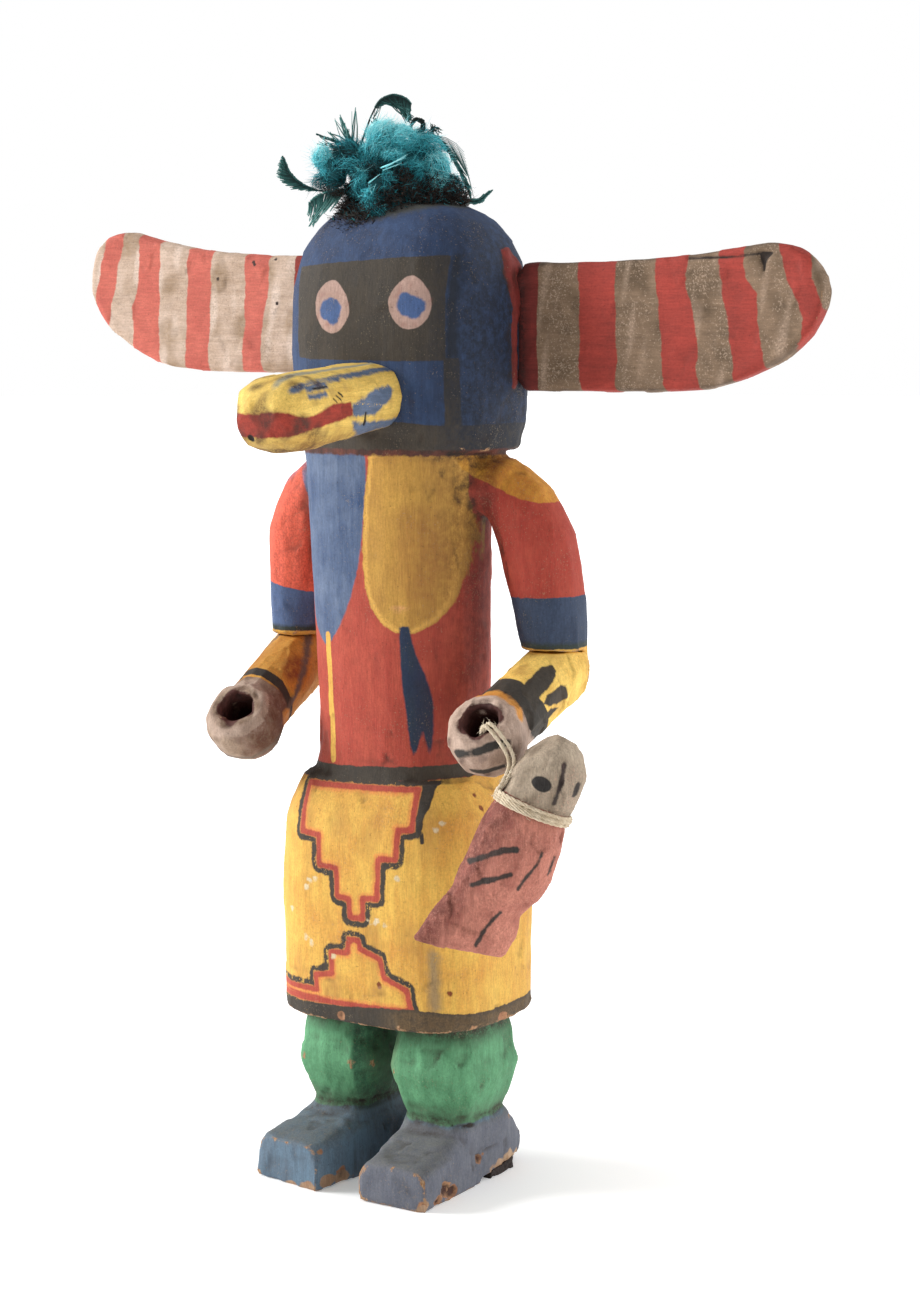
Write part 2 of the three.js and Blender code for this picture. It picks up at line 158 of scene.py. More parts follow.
def studio_floor():
    shape = bmesh.new()
    bmesh.ops.create_circle(shape, cap_ends=True, segments=96, radius=FLOOR_RADIUS)
    mesh = bpy.data.meshes.new("studio_floor")
    shape.to_mesh(mesh)
    shape.free()
    floor = bpy.data.objects.new("studio_floor", mesh)
    bpy.context.scene.collection.objects.link(floor)
    material = bpy.data.materials.new("pale_floor")
    material.use_nodes = True
    surface = material.node_tree.nodes["Principled BSDF"]
    surface.inputs["Base Color"].default_value = grey(FLOOR_WHITE)
    surface.inputs["Roughness"].default_value = 0.9
    surface.inputs["Emission Color"].default_value = grey(1)
    # The floor glows a little, so that shadows stay pale. Near the feet it glows less: a painted soft
    # shadow round them.
    tree = material.node_tree
    place = tree.nodes.new("ShaderNodeTexCoord").outputs["Object"]
    away = tree.nodes.new("ShaderNodeVectorMath")
    away.operation = "DISTANCE"
    fill(tree, away.inputs[0], place)
    away.inputs[1].default_value = FEET
    shine = node(tree, "ShaderNodeMapRange", (away.outputs["Value"], 0.02, 0.13, 0.2, 0.5))
    fill(tree, surface.inputs["Emission Strength"], shine)
    mesh.materials.append(material)


studio_floor()
print("floor", 2 * FLOOR_RADIUS, "m wide")

# %% Surround and lamp
SCREEN_WAY = (0.85, 0.52, -0.05)  # the direction of the white screen


def facing(tree, direction, way):
    """How far a direction faces a way, from -1 to 1."""
    made = tree.nodes.new("ShaderNodeVectorMath")
    made.operation = "DOT_PRODUCT"
    fill(tree, made.inputs[0], direction)
    made.inputs[1].default_value = way
    return made.outputs["Value"]


def studio_surround(viewer_side, far_side, above, right):
    """Lights the figure from above, from behind and by a wide screen on the viewer's right."""
    world = bpy.data.worlds.new("studio")
    bpy.context.scene.world = world
    world.use_nodes = True
    tree = world.node_tree
    tree.nodes.clear()
    direction = node(tree, "ShaderNodeTexCoord")
    viewer = (math.sin(CAMERA_TURN), -math.cos(CAMERA_TURN), -0.15)
    share = ramp(tree, facing(tree, direction, viewer), -0.6, 0.8)
    glow = mix(tree, share, grey(far_side), grey(viewer_side))
    lit = ramp(tree, facing(tree, direction, SCREEN_WAY), 0.55, 0.85)
    glow = mix(tree, lit, glow, grey(right))
    split = tree.nodes.new("ShaderNodeSeparateXYZ")
    fill(tree, split.inputs[0], direction)
    glow = mix(tree, ramp(tree, split.outputs["Z"], 0.35, 0.85), glow, grey(above))
    room = node(tree, "ShaderNodeBackground", (glow, 1.0))
    white = node(tree, "ShaderNodeBackground", (grey(1), 1.0))
    seen = tree.nodes.new("ShaderNodeLightPath").outputs["Is Camera Ray"]
    both = node(tree, "ShaderNodeMixShader", (seen, room, white))
    node(tree, "ShaderNodeOutputWorld", (both,))


def soft_sun(name, towards, spread, strength):
    """A wide light from far away, so that it is the same all over the floor."""
    data = bpy.data.lights.new(name, "SUN")
    data.angle = math.radians(spread)
    data.energy = strength
    lamp = bpy.data.objects.new(name, data)
    lamp.rotation_euler = Vector(towards).to_track_quat("Z", "Y").to_euler()
    bpy.context.scene.collection.objects.link(lamp)


studio_surround(viewer_side=0.03, far_side=0.4, above=0.72, right=3.0)
soft_sun("key_light", towards=(-0.92, -0.42, 0.46), spread=26, strength=4.1)

# %% [markdown]
# ## From solid to carving
# The solids of the frame are faceted. A carved surface is smooth in the large and slightly
# uneven in the small, with the shallow flats that each stroke of the knife leaves. It could be
# sculpted by hand, but what is worked out for each point comes out the same every time and can
# be tuned one number at a time. So each solid is copied, its loose triangles are joined, and it
# is remeshed into small even squares and smoothed. Then every point is moved a little along its
# normal: towards the flat of the nearest knife stroke, and up or down by a slow ripple.

# %% Copy, remesh and measure a solid
def merged_copy(name, solid):
    shape = bmesh.new()
    shape.from_mesh(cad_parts[solid].data)
    bmesh.ops.remove_doubles(shape, verts=shape.verts, dist=0.005 * MM)
    mesh = bpy.data.meshes.new(name)
    shape.to_mesh(mesh)
    shape.free()
    piece = bpy.data.objects.new(name, mesh)
    bpy.context.scene.collection.objects.link(piece)
    return piece


def blank(name, solid, grain, rounds):
    """A solid as even squares of the given size in mm, smoothed that many times."""
    piece = merged_copy(name, solid)
    remesh = piece.modifiers.new("even", "REMESH")
    remesh.mode = "VOXEL"
    remesh.voxel_size = grain * MM
    smooth = piece.modifiers.new("sand", "SMOOTH")
    smooth.factor = 0.5
    smooth.iterations = rounds
    depsgraph = bpy.context.evaluated_depsgraph_get()
    mesh = bpy.data.meshes.new_from_object(piece.evaluated_get(depsgraph))
    piece.modifiers.clear()
    piece.data = mesh
    mesh.shade_smooth()
    print(name, len(mesh.polygons), "faces")
    return piece


def places(piece):
    """The piece's points in mm, measured from the figure's own axis."""
    flat = np.empty(len(piece.data.vertices) * 3, np.float32)
    piece.data.vertices.foreach_get("co", flat)
    return flat.reshape(-1, 3).astype(float) / MM - AXIS


def put(piece, points):
    flat = ((points + AXIS) * MM).astype(np.float32).ravel()
    piece.data.vertices.foreach_set("co", flat)
    piece.data.update()


def normals(piece):
    flat = np.empty(len(piece.data.vertices) * 3, np.float32)
    piece.data.vertex_normals.foreach_get("vector", flat)
    return flat.reshape(-1, 3).astype(float)


def field(piece, name, values):
    """Stores one number for each point, which a material reads by name."""
    made = piece.data.attributes.new(name, "FLOAT", "POINT")
    made.data.foreach_set("value", np.asarray(values, np.float32))

# %% Directions, distances and slopes
def unit(vectors):
    """Vectors of length one, for a single vector or for many in rows."""
    return vectors / np.maximum(np.linalg.norm(vectors, axis=-1, keepdims=True), 1e-6)


def away_from(points, place):
    """How far each point is from a place, in mm."""
    return np.linalg.norm(points - np.array(place), axis=1)


def slope(values, start, end):
    """0 at start, 1 at end and a straight line between. Either of the two may be the greater."""
    return np.clip((values - start) / (end - start), 0, 1)


def rise_between(values, low, high):
    """0 below low and 1 above high, with a smooth slope between."""
    share = slope(values, low, high)
    return share * share * (3 - 2 * share)


print("half way up a slope", slope(5, 0, 10))

# %% Ripples and knife strokes
def ripple(points, size, seed):
    """A slow uneven field from about -1 to 1, whose waves are about size mm long."""
    chance = np.random.default_rng(seed)
    total = np.zeros(len(points))
    for _ in range(7):
        way = unit(chance.normal(size=3))
        length = size * chance.uniform(0.7, 1.5)
        total += np.sin(points @ way * 2 * math.pi / length + chance.uniform(0, 2 * math.pi))
    return total / 3


def patchy(points, size, seed, less):
    """Soft patches, from 0 to 1. The greater less is, the fewer they are."""
    return np.clip(ripple(points, size, seed) - less, 0, 1)


def knife_strokes(piece, size, share, seed, stretch=(1, 1, 0.5), deepest=0.7):
    """Moves each point part of the way to the flat of its nearest stroke. share is that part."""
    points = places(piece)
    across = normals(piece)
    keyed = points * np.array(stretch) + 0.45 * size * across
    chance = np.random.default_rng(seed)
    area = sum(face.area for face in piece.data.polygons) / MM ** 2
    count = max(12, int(area / size ** 2 * stretch[2]))
    middles = keyed[chance.choice(len(points), count, replace=False)]
    tree = kdtree.KDTree(count)
    for i, middle in enumerate(middles):
        tree.insert(middle, i)
    tree.balance()
    nearest = np.array([tree.find(key)[1] for key in keyed])
    share_out = np.maximum(np.bincount(nearest, minlength=count), 1)[:, None]
    def mean(values):
        return np.stack([np.bincount(nearest, values[:, k], count) for k in range(3)], 1) / share_out
    centre = mean(points)[nearest]
    way = unit(mean(across))[nearest]
    depth = np.clip(((points - centre) * way).sum(1), -deepest, deepest)
    put(piece, points - (share * depth)[:, None] * way)


print("a ripple at three points", ripple(np.eye(3), 10, 1).round(2))

# %% Worn edges
def neighbour_mean(piece, values, rounds):
    """Averages a value, or a point, over its neighbours that many times."""
    edges = np.empty(len(piece.data.edges) * 2, np.int32)
    piece.data.edges.foreach_get("vertices", edges)
    a, b = edges.reshape(-1, 2).T
    count = len(piece.data.vertices)
    share = np.bincount(a, minlength=count) + np.bincount(b, minlength=count)
    values = values.reshape(count, -1)
    for _ in range(rounds):
        values = np.stack([
            (np.bincount(a, column[b], count) + np.bincount(b, column[a], count)) / share
            for column in values.T
        ], 1)
    return values


def edges_and_hollows(piece, rounds):
    """Stores how far each point stands out as an edge, or lies in a hollow, in mm."""
    points = places(piece)
    out = ((points - neighbour_mean(piece, points, rounds)) * normals(piece)).sum(1)
    field(piece, "edge", np.maximum(out, 0))
    field(piece, "hollow", np.maximum(-out, 0))
    print(piece.name, "stands out by up to", round(out.max(), 2), "mm")

# %% [markdown]
# ## Laying out the paint
# Each painted area is kept as a distance field: one number at every point that says how far
# inside the area's border it lies, in mm. The number changes evenly across the mesh, so the
# shader can cut it at zero and get a border far finer than the mesh itself, ragged or soft as
# the brush left it. A picture wrapped round the piece could hold the same pattern, but it would
# need unwrapping and would blur close by. Outlines are short lists of corners, and curved ones
# are rounded by cutting their corners again and again.

# %% Distance to outlines, ovals and lines
def rounded(outline, times=3):
    points = np.array(outline, float)
    for _ in range(times):
        after = np.roll(points, -1, axis=0)
        points = np.stack([0.75 * points + 0.25 * after, 0.25 * points + 0.75 * after], 1).reshape(-1, 2)
    return points


def to_segments(flat, starts, ends):
    """The distance from each point to the nearest of some segments."""
    best = np.full(len(flat), 1e9)
    for start, end in zip(starts, ends):
        along = end - start
        share = np.clip(((flat - start) @ along) / max(along @ along, 1e-9), 0, 1)
        best = np.minimum(best, np.linalg.norm(flat - start - share[:, None] * along, axis=1))
    return best


def within(across, up, outline):
    """How far inside a closed outline each point lies, less than zero outside."""
    flat = np.stack([across, up], 1)
    outline = np.array(outline, float)
    after = np.roll(outline, -1, axis=0)
    distance = to_segments(flat, outline, after)
    inside = np.zeros(len(flat), bool)
    for (x0, y0), (x1, y1) in zip(outline, after):
        if y0 == y1:
            continue
        crosses = (y0 > up) != (y1 > up)
        inside ^= crosses & (across < (x1 - x0) * (up - y0) / (y1 - y0) + x0)
    return np.where(inside, distance, -distance)


def oval(across, up, middle, half_width, half_height, squareness=2.0):
    """How far inside an oval each point lies, near enough at its border."""
    u = np.abs(across - middle[0]) / half_width
    v = np.abs(up - middle[1]) / half_height
    reach = (u ** squareness + v ** squareness) ** (1 / squareness)
    return (1 - reach) * min(half_width, half_height)


def along_line(points, path, half_width):
    """How far inside a line of the given half-width each point lies, in 2 or 3 dimensions."""
    path = np.array(path, float)
    return half_width - to_segments(points, path[:-1], path[1:])


SQUARE = [(0, 0), (10, 0), (10, 10), (0, 10)]
middle = np.array([5.0])
print("the middle of a square of 10 mm lies inside it by", within(middle, middle, SQUARE))

# %% [markdown]
# ## The paint itself
# The paints are powdery and thin. A coat is mixed from two tones by long streaks that follow the grain, its
# border wobbles, and it may be dry enough to show what lies under it. On top of all coats come wear, which
# bares the wood on edges, and a darkening of hollows, which is grime and painted shade together. Real
# thickness is too small to model, so the last fine relief is a bump.

# %% The paint box
RED = tone(172, 76, 58)
DARK_RED = tone(154, 58, 46)
YELLOW = tone(214, 172, 80)
OCHRE = tone(196, 140, 62)
BLUE = tone(50, 70, 104)
GREY_BLUE = tone(94, 108, 132)
DARK_BLUE = tone(34, 46, 72)
BLACK = tone(50, 46, 42)
BROWN_BLACK = tone(66, 58, 48)
GREEN = tone(96, 154, 112)
DARK_GREEN = tone(66, 116, 80)
SHOE = tone(95, 118, 136)
DARK_SHOE = tone(82, 92, 104)
# Grime, and painted shade too: this dark fills hollows, pits and the legs under the kilt.
GRIME_AND_SHADE = tone(44, 32, 24)
WOOD = tone(176, 142, 108)
OLD_WOOD = tone(122, 84, 52)
print("red", [round(value, 3) for value in RED[:3]], "blue", [round(value, 3) for value in BLUE[:3]])

# %% Coats of matt paint
class Paint:
    """A finish built from coats, each laid over the one before."""

    def __init__(self, name, ground, second, grain=(1.0, 1.0, 0.1)):
        self.material = bpy.data.materials.new(name)
        self.material.use_nodes = True
        self.tree = self.material.node_tree
        self.tree.nodes.clear()
        coordinates = self.tree.nodes.new("ShaderNodeTexCoord").outputs["Object"]
        self.place = self.scaled(coordinates, (1 / MM,) * 3)
        along = self.scaled(self.place, grain)
        # Noises by their scale, which is in waves a mm, their detail and their roughness.
        self.streak = self.noise(along, 0.55, 5, 0.62)
        self.fibre = self.noise(along, 2.6, 3, 0.6)
        self.blotch = self.noise(self.place, 0.075, 4, 0.6)
        self.edge_noise = self.noise(self.place, 0.42, 4, 0.62)
        self.speck = self.noise(self.place, 1.5, 3, 0.65)
        self.grit = self.noise(self.place, 1.15, 2, 0.75)
        self.dots = self.noise(self.place, 1.9, 2, 0.6)
        self.colour = self.two_tone(ground, second)

    def scaled(self, place, factors):
        return node(self.tree, "ShaderNodeVectorMath", (place, factors), operation="MULTIPLY")

    def noise(self, place, scale, detail, roughness):
        return node(self.tree, "ShaderNodeTexNoise", (place, None, scale, detail, roughness))

    def calc(self, operation, *values):
        return calc(self.tree, operation, *values)

    def weighed(self, first, share, second, rest):
        """The first value times its share, and the second times the rest, added."""
        return self.calc("MULTIPLY_ADD", first, share, self.calc("MULTIPLY", second, rest))

    def cover(self, factor, colour, blend_type="MIX"):
        """Lays a colour over what is there already, as far as the factor says."""
        self.colour = mix(self.tree, factor, self.colour, colour, blend_type)

    def two_tone(self, first, second):
        both = self.weighed(self.blotch, 0.6, self.streak, 0.4)
        return mix(self.tree, ramp(self.tree, both, 0.38, 0.66), first, second)

    def ragged(self, value, wobble):
        """Shifts a distance to and fro, so that the border it gives is uneven."""
        shift = self.calc("MULTIPLY_ADD", self.edge_noise, 2 * wobble, -wobble)
        return self.calc("ADD", value, shift)

    def lay(self, value, first, second, soft, dry):
        """Covers where the value is above zero. A dry brush leaves gaps along its streaks."""
        laid = ramp(self.tree, value, -soft, soft)
        if dry:
            worn = self.weighed(self.streak, 0.5, self.speck, 0.5)
            gaps = 0.22 + 0.3 * dry
            laid = self.calc("MULTIPLY", laid, ramp(self.tree, worn, gaps, gaps + 0.06))
        self.cover(laid, self.two_tone(first, second or first))

    def coat(self, area, first, second=None, wobble=0.35, soft=0.16, dry=0.0):
        """Paints an area, where its distance is above zero."""
        self.lay(self.ragged(attribute(self.tree, area), wobble), first, second, soft, dry)

    def stripe(self, area, centre, half, first, second=None, wobble=0.3, soft=0.16, dry=0.0):
        """Paints a stripe that follows a border at the given distance inside it."""
        value = self.ragged(attribute(self.tree, area), wobble)
        off = self.calc("ABSOLUTE", self.calc("SUBTRACT", value, centre))
        self.lay(self.calc("SUBTRACT", half, off), first, second, soft, dry)

    def soft_tint(self, area, colour, strength=0.8, reach=1.0):
        """Tints softly where a field rises from 0 to reach, unevenly. It lays real stains, and painted
        light and shade as well.
        """
        value = ramp(self.tree, attribute(self.tree, area), 0.0, reach)
        uneven = ramp(self.tree, self.calc("ADD", self.edge_noise, self.speck), 0.55, 1.15)
        factor = self.calc("MULTIPLY", self.calc("MULTIPLY", value, uneven), strength)
        self.cover(factor, colour)

    def wear(self, low, high, wood=WOOD, under=OLD_WOOD):
        """Bares the wood where an edge stands out and the paint is thin."""
        rub = self.calc("MULTIPLY_ADD", self.edge_noise, 0.6, attribute(self.tree, "edge"))
        bare = ramp(self.tree, self.calc("MULTIPLY_ADD", self.speck, 0.35, rub), low, high)
        tan = mix(self.tree, ramp(self.tree, self.fibre, 0.4, 0.62), wood, under)
        self.cover(bare, tan)

    def mottle(self, low=0.8, high=1.17):
        """Fine light and dark that every hand-ground paint shows, and small dark pits."""
        tiny = self.weighed(self.fibre, 0.5, self.speck, 0.5)
        level = node(self.tree, "ShaderNodeMapRange", (tiny, 0.36, 0.64, low, high))
        shade = node(self.tree, "ShaderNodeCombineColor", (level, level, level))
        self.cover(1.0, shade, "MULTIPLY")
        pits = self.calc("MULTIPLY", ramp(self.tree, self.grit, 0.65, 0.74), 0.5)
        self.cover(pits, GRIME_AND_SHADE)

    def dust(self, colour, share, strength):
        """Pale specks of dust. A larger share leaves more of them."""
        grains = self.weighed(self.blotch, 0.35, self.dots, 0.65)
        laid = ramp(self.tree, grains, 0.62 - share, 0.68 - share)
        self.cover(self.calc("MULTIPLY", laid, strength), colour)

    def finish(self, piece, slot, roughness=0.78, relief=0.22, specular=0.32):
        tree = self.tree
        height = self.weighed(self.fibre, 0.55, self.speck, 0.5)
        height = self.calc("MULTIPLY_ADD", self.streak, 0.8, height)
        bump = tree.nodes.new("ShaderNodeBump")
        bump.inputs["Strength"].default_value = 0.6
        bump.inputs["Distance"].default_value = relief * MM
        fill(tree, bump.inputs["Height"], height)
        surface = tree.nodes.new("ShaderNodeBsdfPrincipled")
        fill(tree, surface.inputs["Base Color"], self.colour)
        surface.inputs["Roughness"].default_value = roughness
        surface.inputs["Specular IOR Level"].default_value = specular
        fill(tree, surface.inputs["Normal"], bump.outputs["Normal"])
        node(tree, "ShaderNodeOutputMaterial", (surface.outputs["BSDF"],))
        piece.data.materials.clear()
        piece.data.materials.append(self.material)


def finish_piece(piece, *solids):
    """The piece rides with the doll and stands for its solids."""
    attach(piece, "root")
    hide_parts(*solids)
    print(piece.name, "stands for", *solids)

# %% [markdown]
# ## The carved figure
# Head, torso, kilt, upper arms, legs and feet are one block of wood. The strokes of the knife
# are shallow, because its surfaces were sanded before painting. The head and the legs are
# carved a little fuller than their solids here, where it costs only a few lines. Where the left
# ear is glued in, a thick lip of red paint stands up; it is raised with the points round it, so
# that it joins the head without a seam. Cracks and flakes are cut in by their distance.

# %% Carve the figure
NECK = 224.2  # heights of the figure, from its soles
TORSO_TOP = 226
CUFF_FOOT = 166.6
WAIST = 131
ARM_FROM = 32.5  # the arms are further out than this

figure = blank("carved_figure", "body", grain=1.0, rounds=3)
knife_strokes(figure, size=7, share=0.45, seed=11)
start = places(figure)
x, y, z = start.T
# The head is a little fuller than its solid, and the left heel more bulging.
full = 0.034 * rise_between(z, 227, 233) * (1 - rise_between(z, 286, 297)) * (np.abs(x) < 42)
heel = rise_between(x, 12, 26) * rise_between(y, -6, 6) * (1 - rise_between(z, 17, 22)) * (z < 24)
start = np.stack([x + full * (x - 1) + 1.3 * heel, y + full * (y + 1) + 0.9 * heel, z], 1)
put(figure, start)
x, y, z = start.T
out = normals(figure)
print("figure from", start.min(axis=0).round(1), "to", start.max(axis=0).round(1))

# %% Raise the lip and swell the legs
LIP_OUTLINE = [
    (-0.6, 242.5), (2.6, 243), (2.4, 262), (7.5, 273), (8, 279), (5, 284), (-1.5, 283.5),
    (-2.6, 277), (-0.8, 268),
]
lip = np.minimum(within(y, z, LIP_OUTLINE), x - 30.5) + 0.35 * ripple(start, 5, 4)
clumps = 0.5 + 0.5 * ripple(start, 7, 3)
# The legs bulge like barrels, narrow under the kilt and at the ankles.
for side in (-1, 1):
    leg = (np.sign(x - 1) == side) & (z > 24) & (z < 48)
    axis = start[leg].mean(axis=0)
    swell = np.interp(z, (19, 22, 28, 36, 44, 51.4, 52.4), (0, -0.09, -0.03, 0.06, 0.0, -0.06, 0))
    near_axis = 1 - rise_between(np.hypot(x - axis[0], y - axis[1]), 20, 25)
    swell = swell * (np.sign(x - 1) == side) * near_axis
    start = start + (start - axis) * (1, 1, 0) * swell[:, None]
put(figure, start)
x, y, z = start.T
out = normals(figure)

height = slope(lip, 0, 1.2) * (0.8 + 0.9 * clumps * np.clip((z - 268) / 8, 0.35, 1))
height += 0.10 * ripple(start, 17, 5) + 0.035 * ripple(start, 4.5, 6)
print("raised by up to", round(height.max(), 2), "mm")

# %% Cracks and flakes
ANKLE_CRACKS = [
    [(13, -17.4, 21.2), (18, -18.4, 20.8), (23.5, -17, 21.3), (28, -12, 20.4), (30, -6, 20.2)],
    [(-15.5, -17.6, 22.3), (-12.4, -17.4, 22.8), (-9.5, -15, 22.4), (-7.4, -8, 22.6), (-6.6, 1, 22.1)],
]
crack = np.max([along_line(start, path, 1.0) for path in ANKLE_CRACKS], axis=0)
crack += 0.3 * ripple(start, 5, 7)
height -= 0.5 * slope(crack, 0, 0.8)

# Flakes that have sprung off: where, how wide, how deep.
FLAKES = [
    ((28.4, -24.5, 4.0), 2.6, 0.9), ((28.6, -20.8, 2.0), 2.8, 0.9), ((28.4, -28.6, 1.6), 2.0, 0.7),
    ((28.3, -5.6, 8.4), 1.7, 0.8), ((29.6, -3.4, 9.3), 1.2, 0.5), ((-10.4, -34.8, 12.2), 1.1, 0.3),
    ((27.7, -36.8, 1.8), 2.0, 0.5), ((-6.4, -29.6, 53.6), 1.5, 0.4), ((-8.2, -27, 3.2), 2.2, 0.4),
    ((8.0, -29.8, 64.5), 0.8, 0.2), ((-31, 2, 54), 3.0, 0.5), ((31, -16, 53), 2.4, 0.3),
    ((34, -3, 53.4), 2.6, 0.3),
]
flake = np.full(len(start), -9.0)
for middle, width, depth in FLAKES:
    reach = away_from(start, middle) + 0.22 * width * ripple(start, width * 1.4, 21)
    flake = np.maximum(flake, width - reach)
    height -= depth * slope(width - reach, 0, 0.9)
carved = start + out * height[:, None]
carved[:, 2] = np.maximum(carved[:, 2], 0)  # the soles stay on the floor
put(figure, carved)
edges_and_hollows(figure, 6)

# %% [markdown]
# ### Where each colour goes
# The fields below are laid out on the figure's front, back and sides. The left hand is on the side of
# greater x, and the front faces the side of lesser y. Where an area is the part that several borders share,
# its field is the least of their distances. A soft tint, whether a stain or painted light and shade, has no
# border, and its field only rises from 0 to 1.

# %% Head fields
def front_of(area, limit):
    """An area that is only on the front, where y is less than the limit."""
    return np.minimum(area, limit - y)


def ovals(parts):
    return np.max([oval(x, z, middle, wide, tall) for middle, wide, tall in parts], axis=0)


field(figure, "head", np.minimum(z - 225.3, 40 - np.abs(x)))
field(figure, "crown", 21 - np.hypot(x + 2, y + 1) + 0.9 * (z - 295))
FACE_BAND = [
    (-25.1, 278.7), (4, 280.4), (27, 281.5), (27.2, 251.1), (10, 251.0), (-19.6, 251.4),
    (-24.2, 251.9),
]
field(figure, "face_band", front_of(within(x, z, FACE_BAND), -6))
# Painted shade: a dark strip along the end of the face band, at the head's front corner.
BAND_END_SHADE = [(27.4, 281.6), (29.6, 281.4), (30.2, 252), (27.4, 252)]
field(figure, "band_end_shade", front_of(within(x, z, BAND_END_SHADE), -2))
# The eyes are ovals that a hurried brush drew: pointed above, narrower below.
EYES = [
    [
        (-10, 275.2), (-6.6, 273.2), (-3.4, 268.5), (-3.2, 264), (-6.2, 259.8), (-9.8, 258.6),
        (-14, 260.8), (-16.6, 266), (-15.6, 271.4),
    ],
    [
        (17.2, 276.4), (20.6, 274.0), (23.6, 269.6), (23.2, 264.2), (20.4, 260.8), (15.8, 259.8),
        (11.8, 262.6), (9.8, 267.6), (12, 272.6),
    ],
]
eye_area = front_of(np.max([within(x, z, rounded(eye, 2)) for eye in EYES], axis=0), -6)
field(figure, "eyes", eye_area)
field(figure, "eye_stains", patchy(start, 3.2, 14, 0.5) * (eye_area > 0))
PUPILS = [
    ((-10.2, 266.0), 4.2, 3.3), ((-9.0, 263.2), 2.0, 1.7), ((-12.0, 264.6), 2.0, 1.8),
    ((17.4, 266.8), 4.4, 3.0), ((15.8, 269.0), 2.2, 1.7), ((18.4, 264.4), 2.2, 1.5),
]
field(figure, "pupils", front_of(ovals(PUPILS), -6))
bar = np.minimum(np.minimum(x - 26.6, 30.4 - x), 252 - z)
chin = np.minimum(232.9 + 0.5 * np.sin(x / 6) - z, z - 224.0)
field(figure, "chin_bar", np.minimum(np.maximum(front_of(bar, 0), chin), z - NECK))
# A dark line round the neck under the head's rim: painted shadow, with red-brown specks in its dry paint.
field(figure, "neck_seam_and_shadow", np.minimum(0.9 - np.abs(z - NECK), 36 - np.abs(x)))
field(figure, "lip", lip)
print("points in the eyes", int((eye_area > 0).sum()))

# %% Torso fields
PANEL = [
    (-36, 226), (-33.4, 216.4), (-26.5, 200), (-24, 176), (-19, 167.5), (-14.5, 165), (-7.7, 173.9),
    (-1.8, 187), (0.6, 201.7), (2.2, 217.7), (1.6, 226),
]
field(figure, "panel", front_of(within(x, z, rounded(PANEL, 2)), 2))
OVAL = [
    (2.6, 226), (2.6, 217.7), (1.2, 211), (0.2, 193.3), (1.2, 181.5), (5.2, 174), (13.1, 169.7),
    (20.6, 173.6), (24.6, 180.1), (26.3, 191.2), (27.3, 204.3), (27.8, 214), (27.8, 226),
]
oval_area = front_of(within(x, z, rounded(OVAL, 2)), 0)
field(figure, "oval", oval_area)
field(figure, "fleck_area", np.clip(oval(x, z, (17, 192), 9, 20) / 5, 0, 1))
field(figure, "scuff", np.clip(oval(x, z, (11.6, 178.2), 3.4, 0.9), 0, 1) * 1.4)

CAP = [
    (26.5, 219.5), (28.5, 217.1), (34, 215.5), (43.1, 211.3), (48, 209.8), (62, 209.7), (62, 231),
    (24, 231),
]
field(figure, "cap", np.minimum(within(x, z, CAP), 225.2 - z))
SHOULDER = [(-22, 230), (-24, 220), (-34, 218.5), (-46, 209), (-60, 208), (-60, 230)]
field(figure, "right_shoulder", within(x, z, SHOULDER))
DRIP = [
    (11.4, 173), (14.2, 173), (15.6, 165), (18.2, 158), (19.6, 151), (19.6, 142), (18.6, 134.4),
    (17.7, 138), (17.0, 142), (16, 138), (14.9, 133.8), (13.7, 137), (12.9, 146), (11.7, 157),
]
field(figure, "drip", front_of(within(x, z, DRIP), 0))
across_up = start[:, ::2]
belly_line = along_line(across_up, [(-14.7, 168.8), (-14.3, 149), (-13.4, 131)], 1.15)
field(figure, "belly_line", front_of(belly_line, 0))
arm_side = np.abs(x) - ARM_FROM
top_edge = np.where(x > 0, 181.8 + 0.03 * (x - 42), 180.2 - 0.2 * (x + 40))
field(figure, "arm_band", np.minimum(np.minimum(arm_side, top_edge - z), z - CUFF_FOOT))
# Painted light and shade: the right upper arm, on the side of the light, is tinted a lighter red, and the
# left upper arm a darker red.
field(figure, "left_arm_painted_shade", slope(x, 31, 34) * (z > 178) * (z < TORSO_TOP))
band_height = np.minimum(top_edge - z, z - CUFF_FOOT)
# Painted light: on the right arm, on the side of the light, the blue band is laid in a lighter copy.
field(figure, "right_band_painted_light", np.minimum(np.minimum(arm_side, -x), band_height))
field(figure, "right_arm_painted_light", slope(x, -31, -34) * (z > 166) * (z < TORSO_TOP))
# Painted shade: the torso next to the left arm is darkened where the arm shades it.
field(figure, "armpit_shade", slope(x, 14, 27) * slope(x, 38, 35) * (z > WAIST) * (z < TORSO_TOP) * (y < 6))
field(figure, "band_foot", np.minimum(arm_side, 1.3 - np.abs(z - 167)))
field(figure, "elbow", np.minimum(np.minimum(np.abs(x) - 31, CUFF_FOOT - z), z - WAIST))
print("points in the oval of the chest", int((oval_area > 0).sum()))

# %% Kilt fields
belt_top = 130.2 + 0.05 * x
belt_foot = 126.0 + 0.05 * x + 0.25 * ripple(start, 13, 17)
field(figure, "belt", np.minimum(belt_top - z, z - belt_foot))
field(figure, "kilt", belt_foot - z)
hem_top = np.interp(x, (-34, -31, -4, 19, 28, 36), (55.0, 55.4, 57.1, 59.0, 58.2, 57.2))
field(figure, "hem", hem_top - z)
field(figure, "hem_rub", slope(x, 6, 16) * slope(z, hem_top + 0.5, hem_top - 1.5) * (z > 52) * 0.8)
UPPER_STEPS = [
    (-21.5, 123.4), (-21.2, 109), (-14.4, 108.6), (-14, 99.6), (-7.6, 99.2), (-7, 90.6),
    (-2.9, 90.4), (-2.6, 84.8), (2, 84.8), (2, 91.2), (7.3, 91.4), (7.5, 103.6), (13.6, 103.9),
    (13.8, 112.8), (18.3, 113), (17.9, 124.6),
]
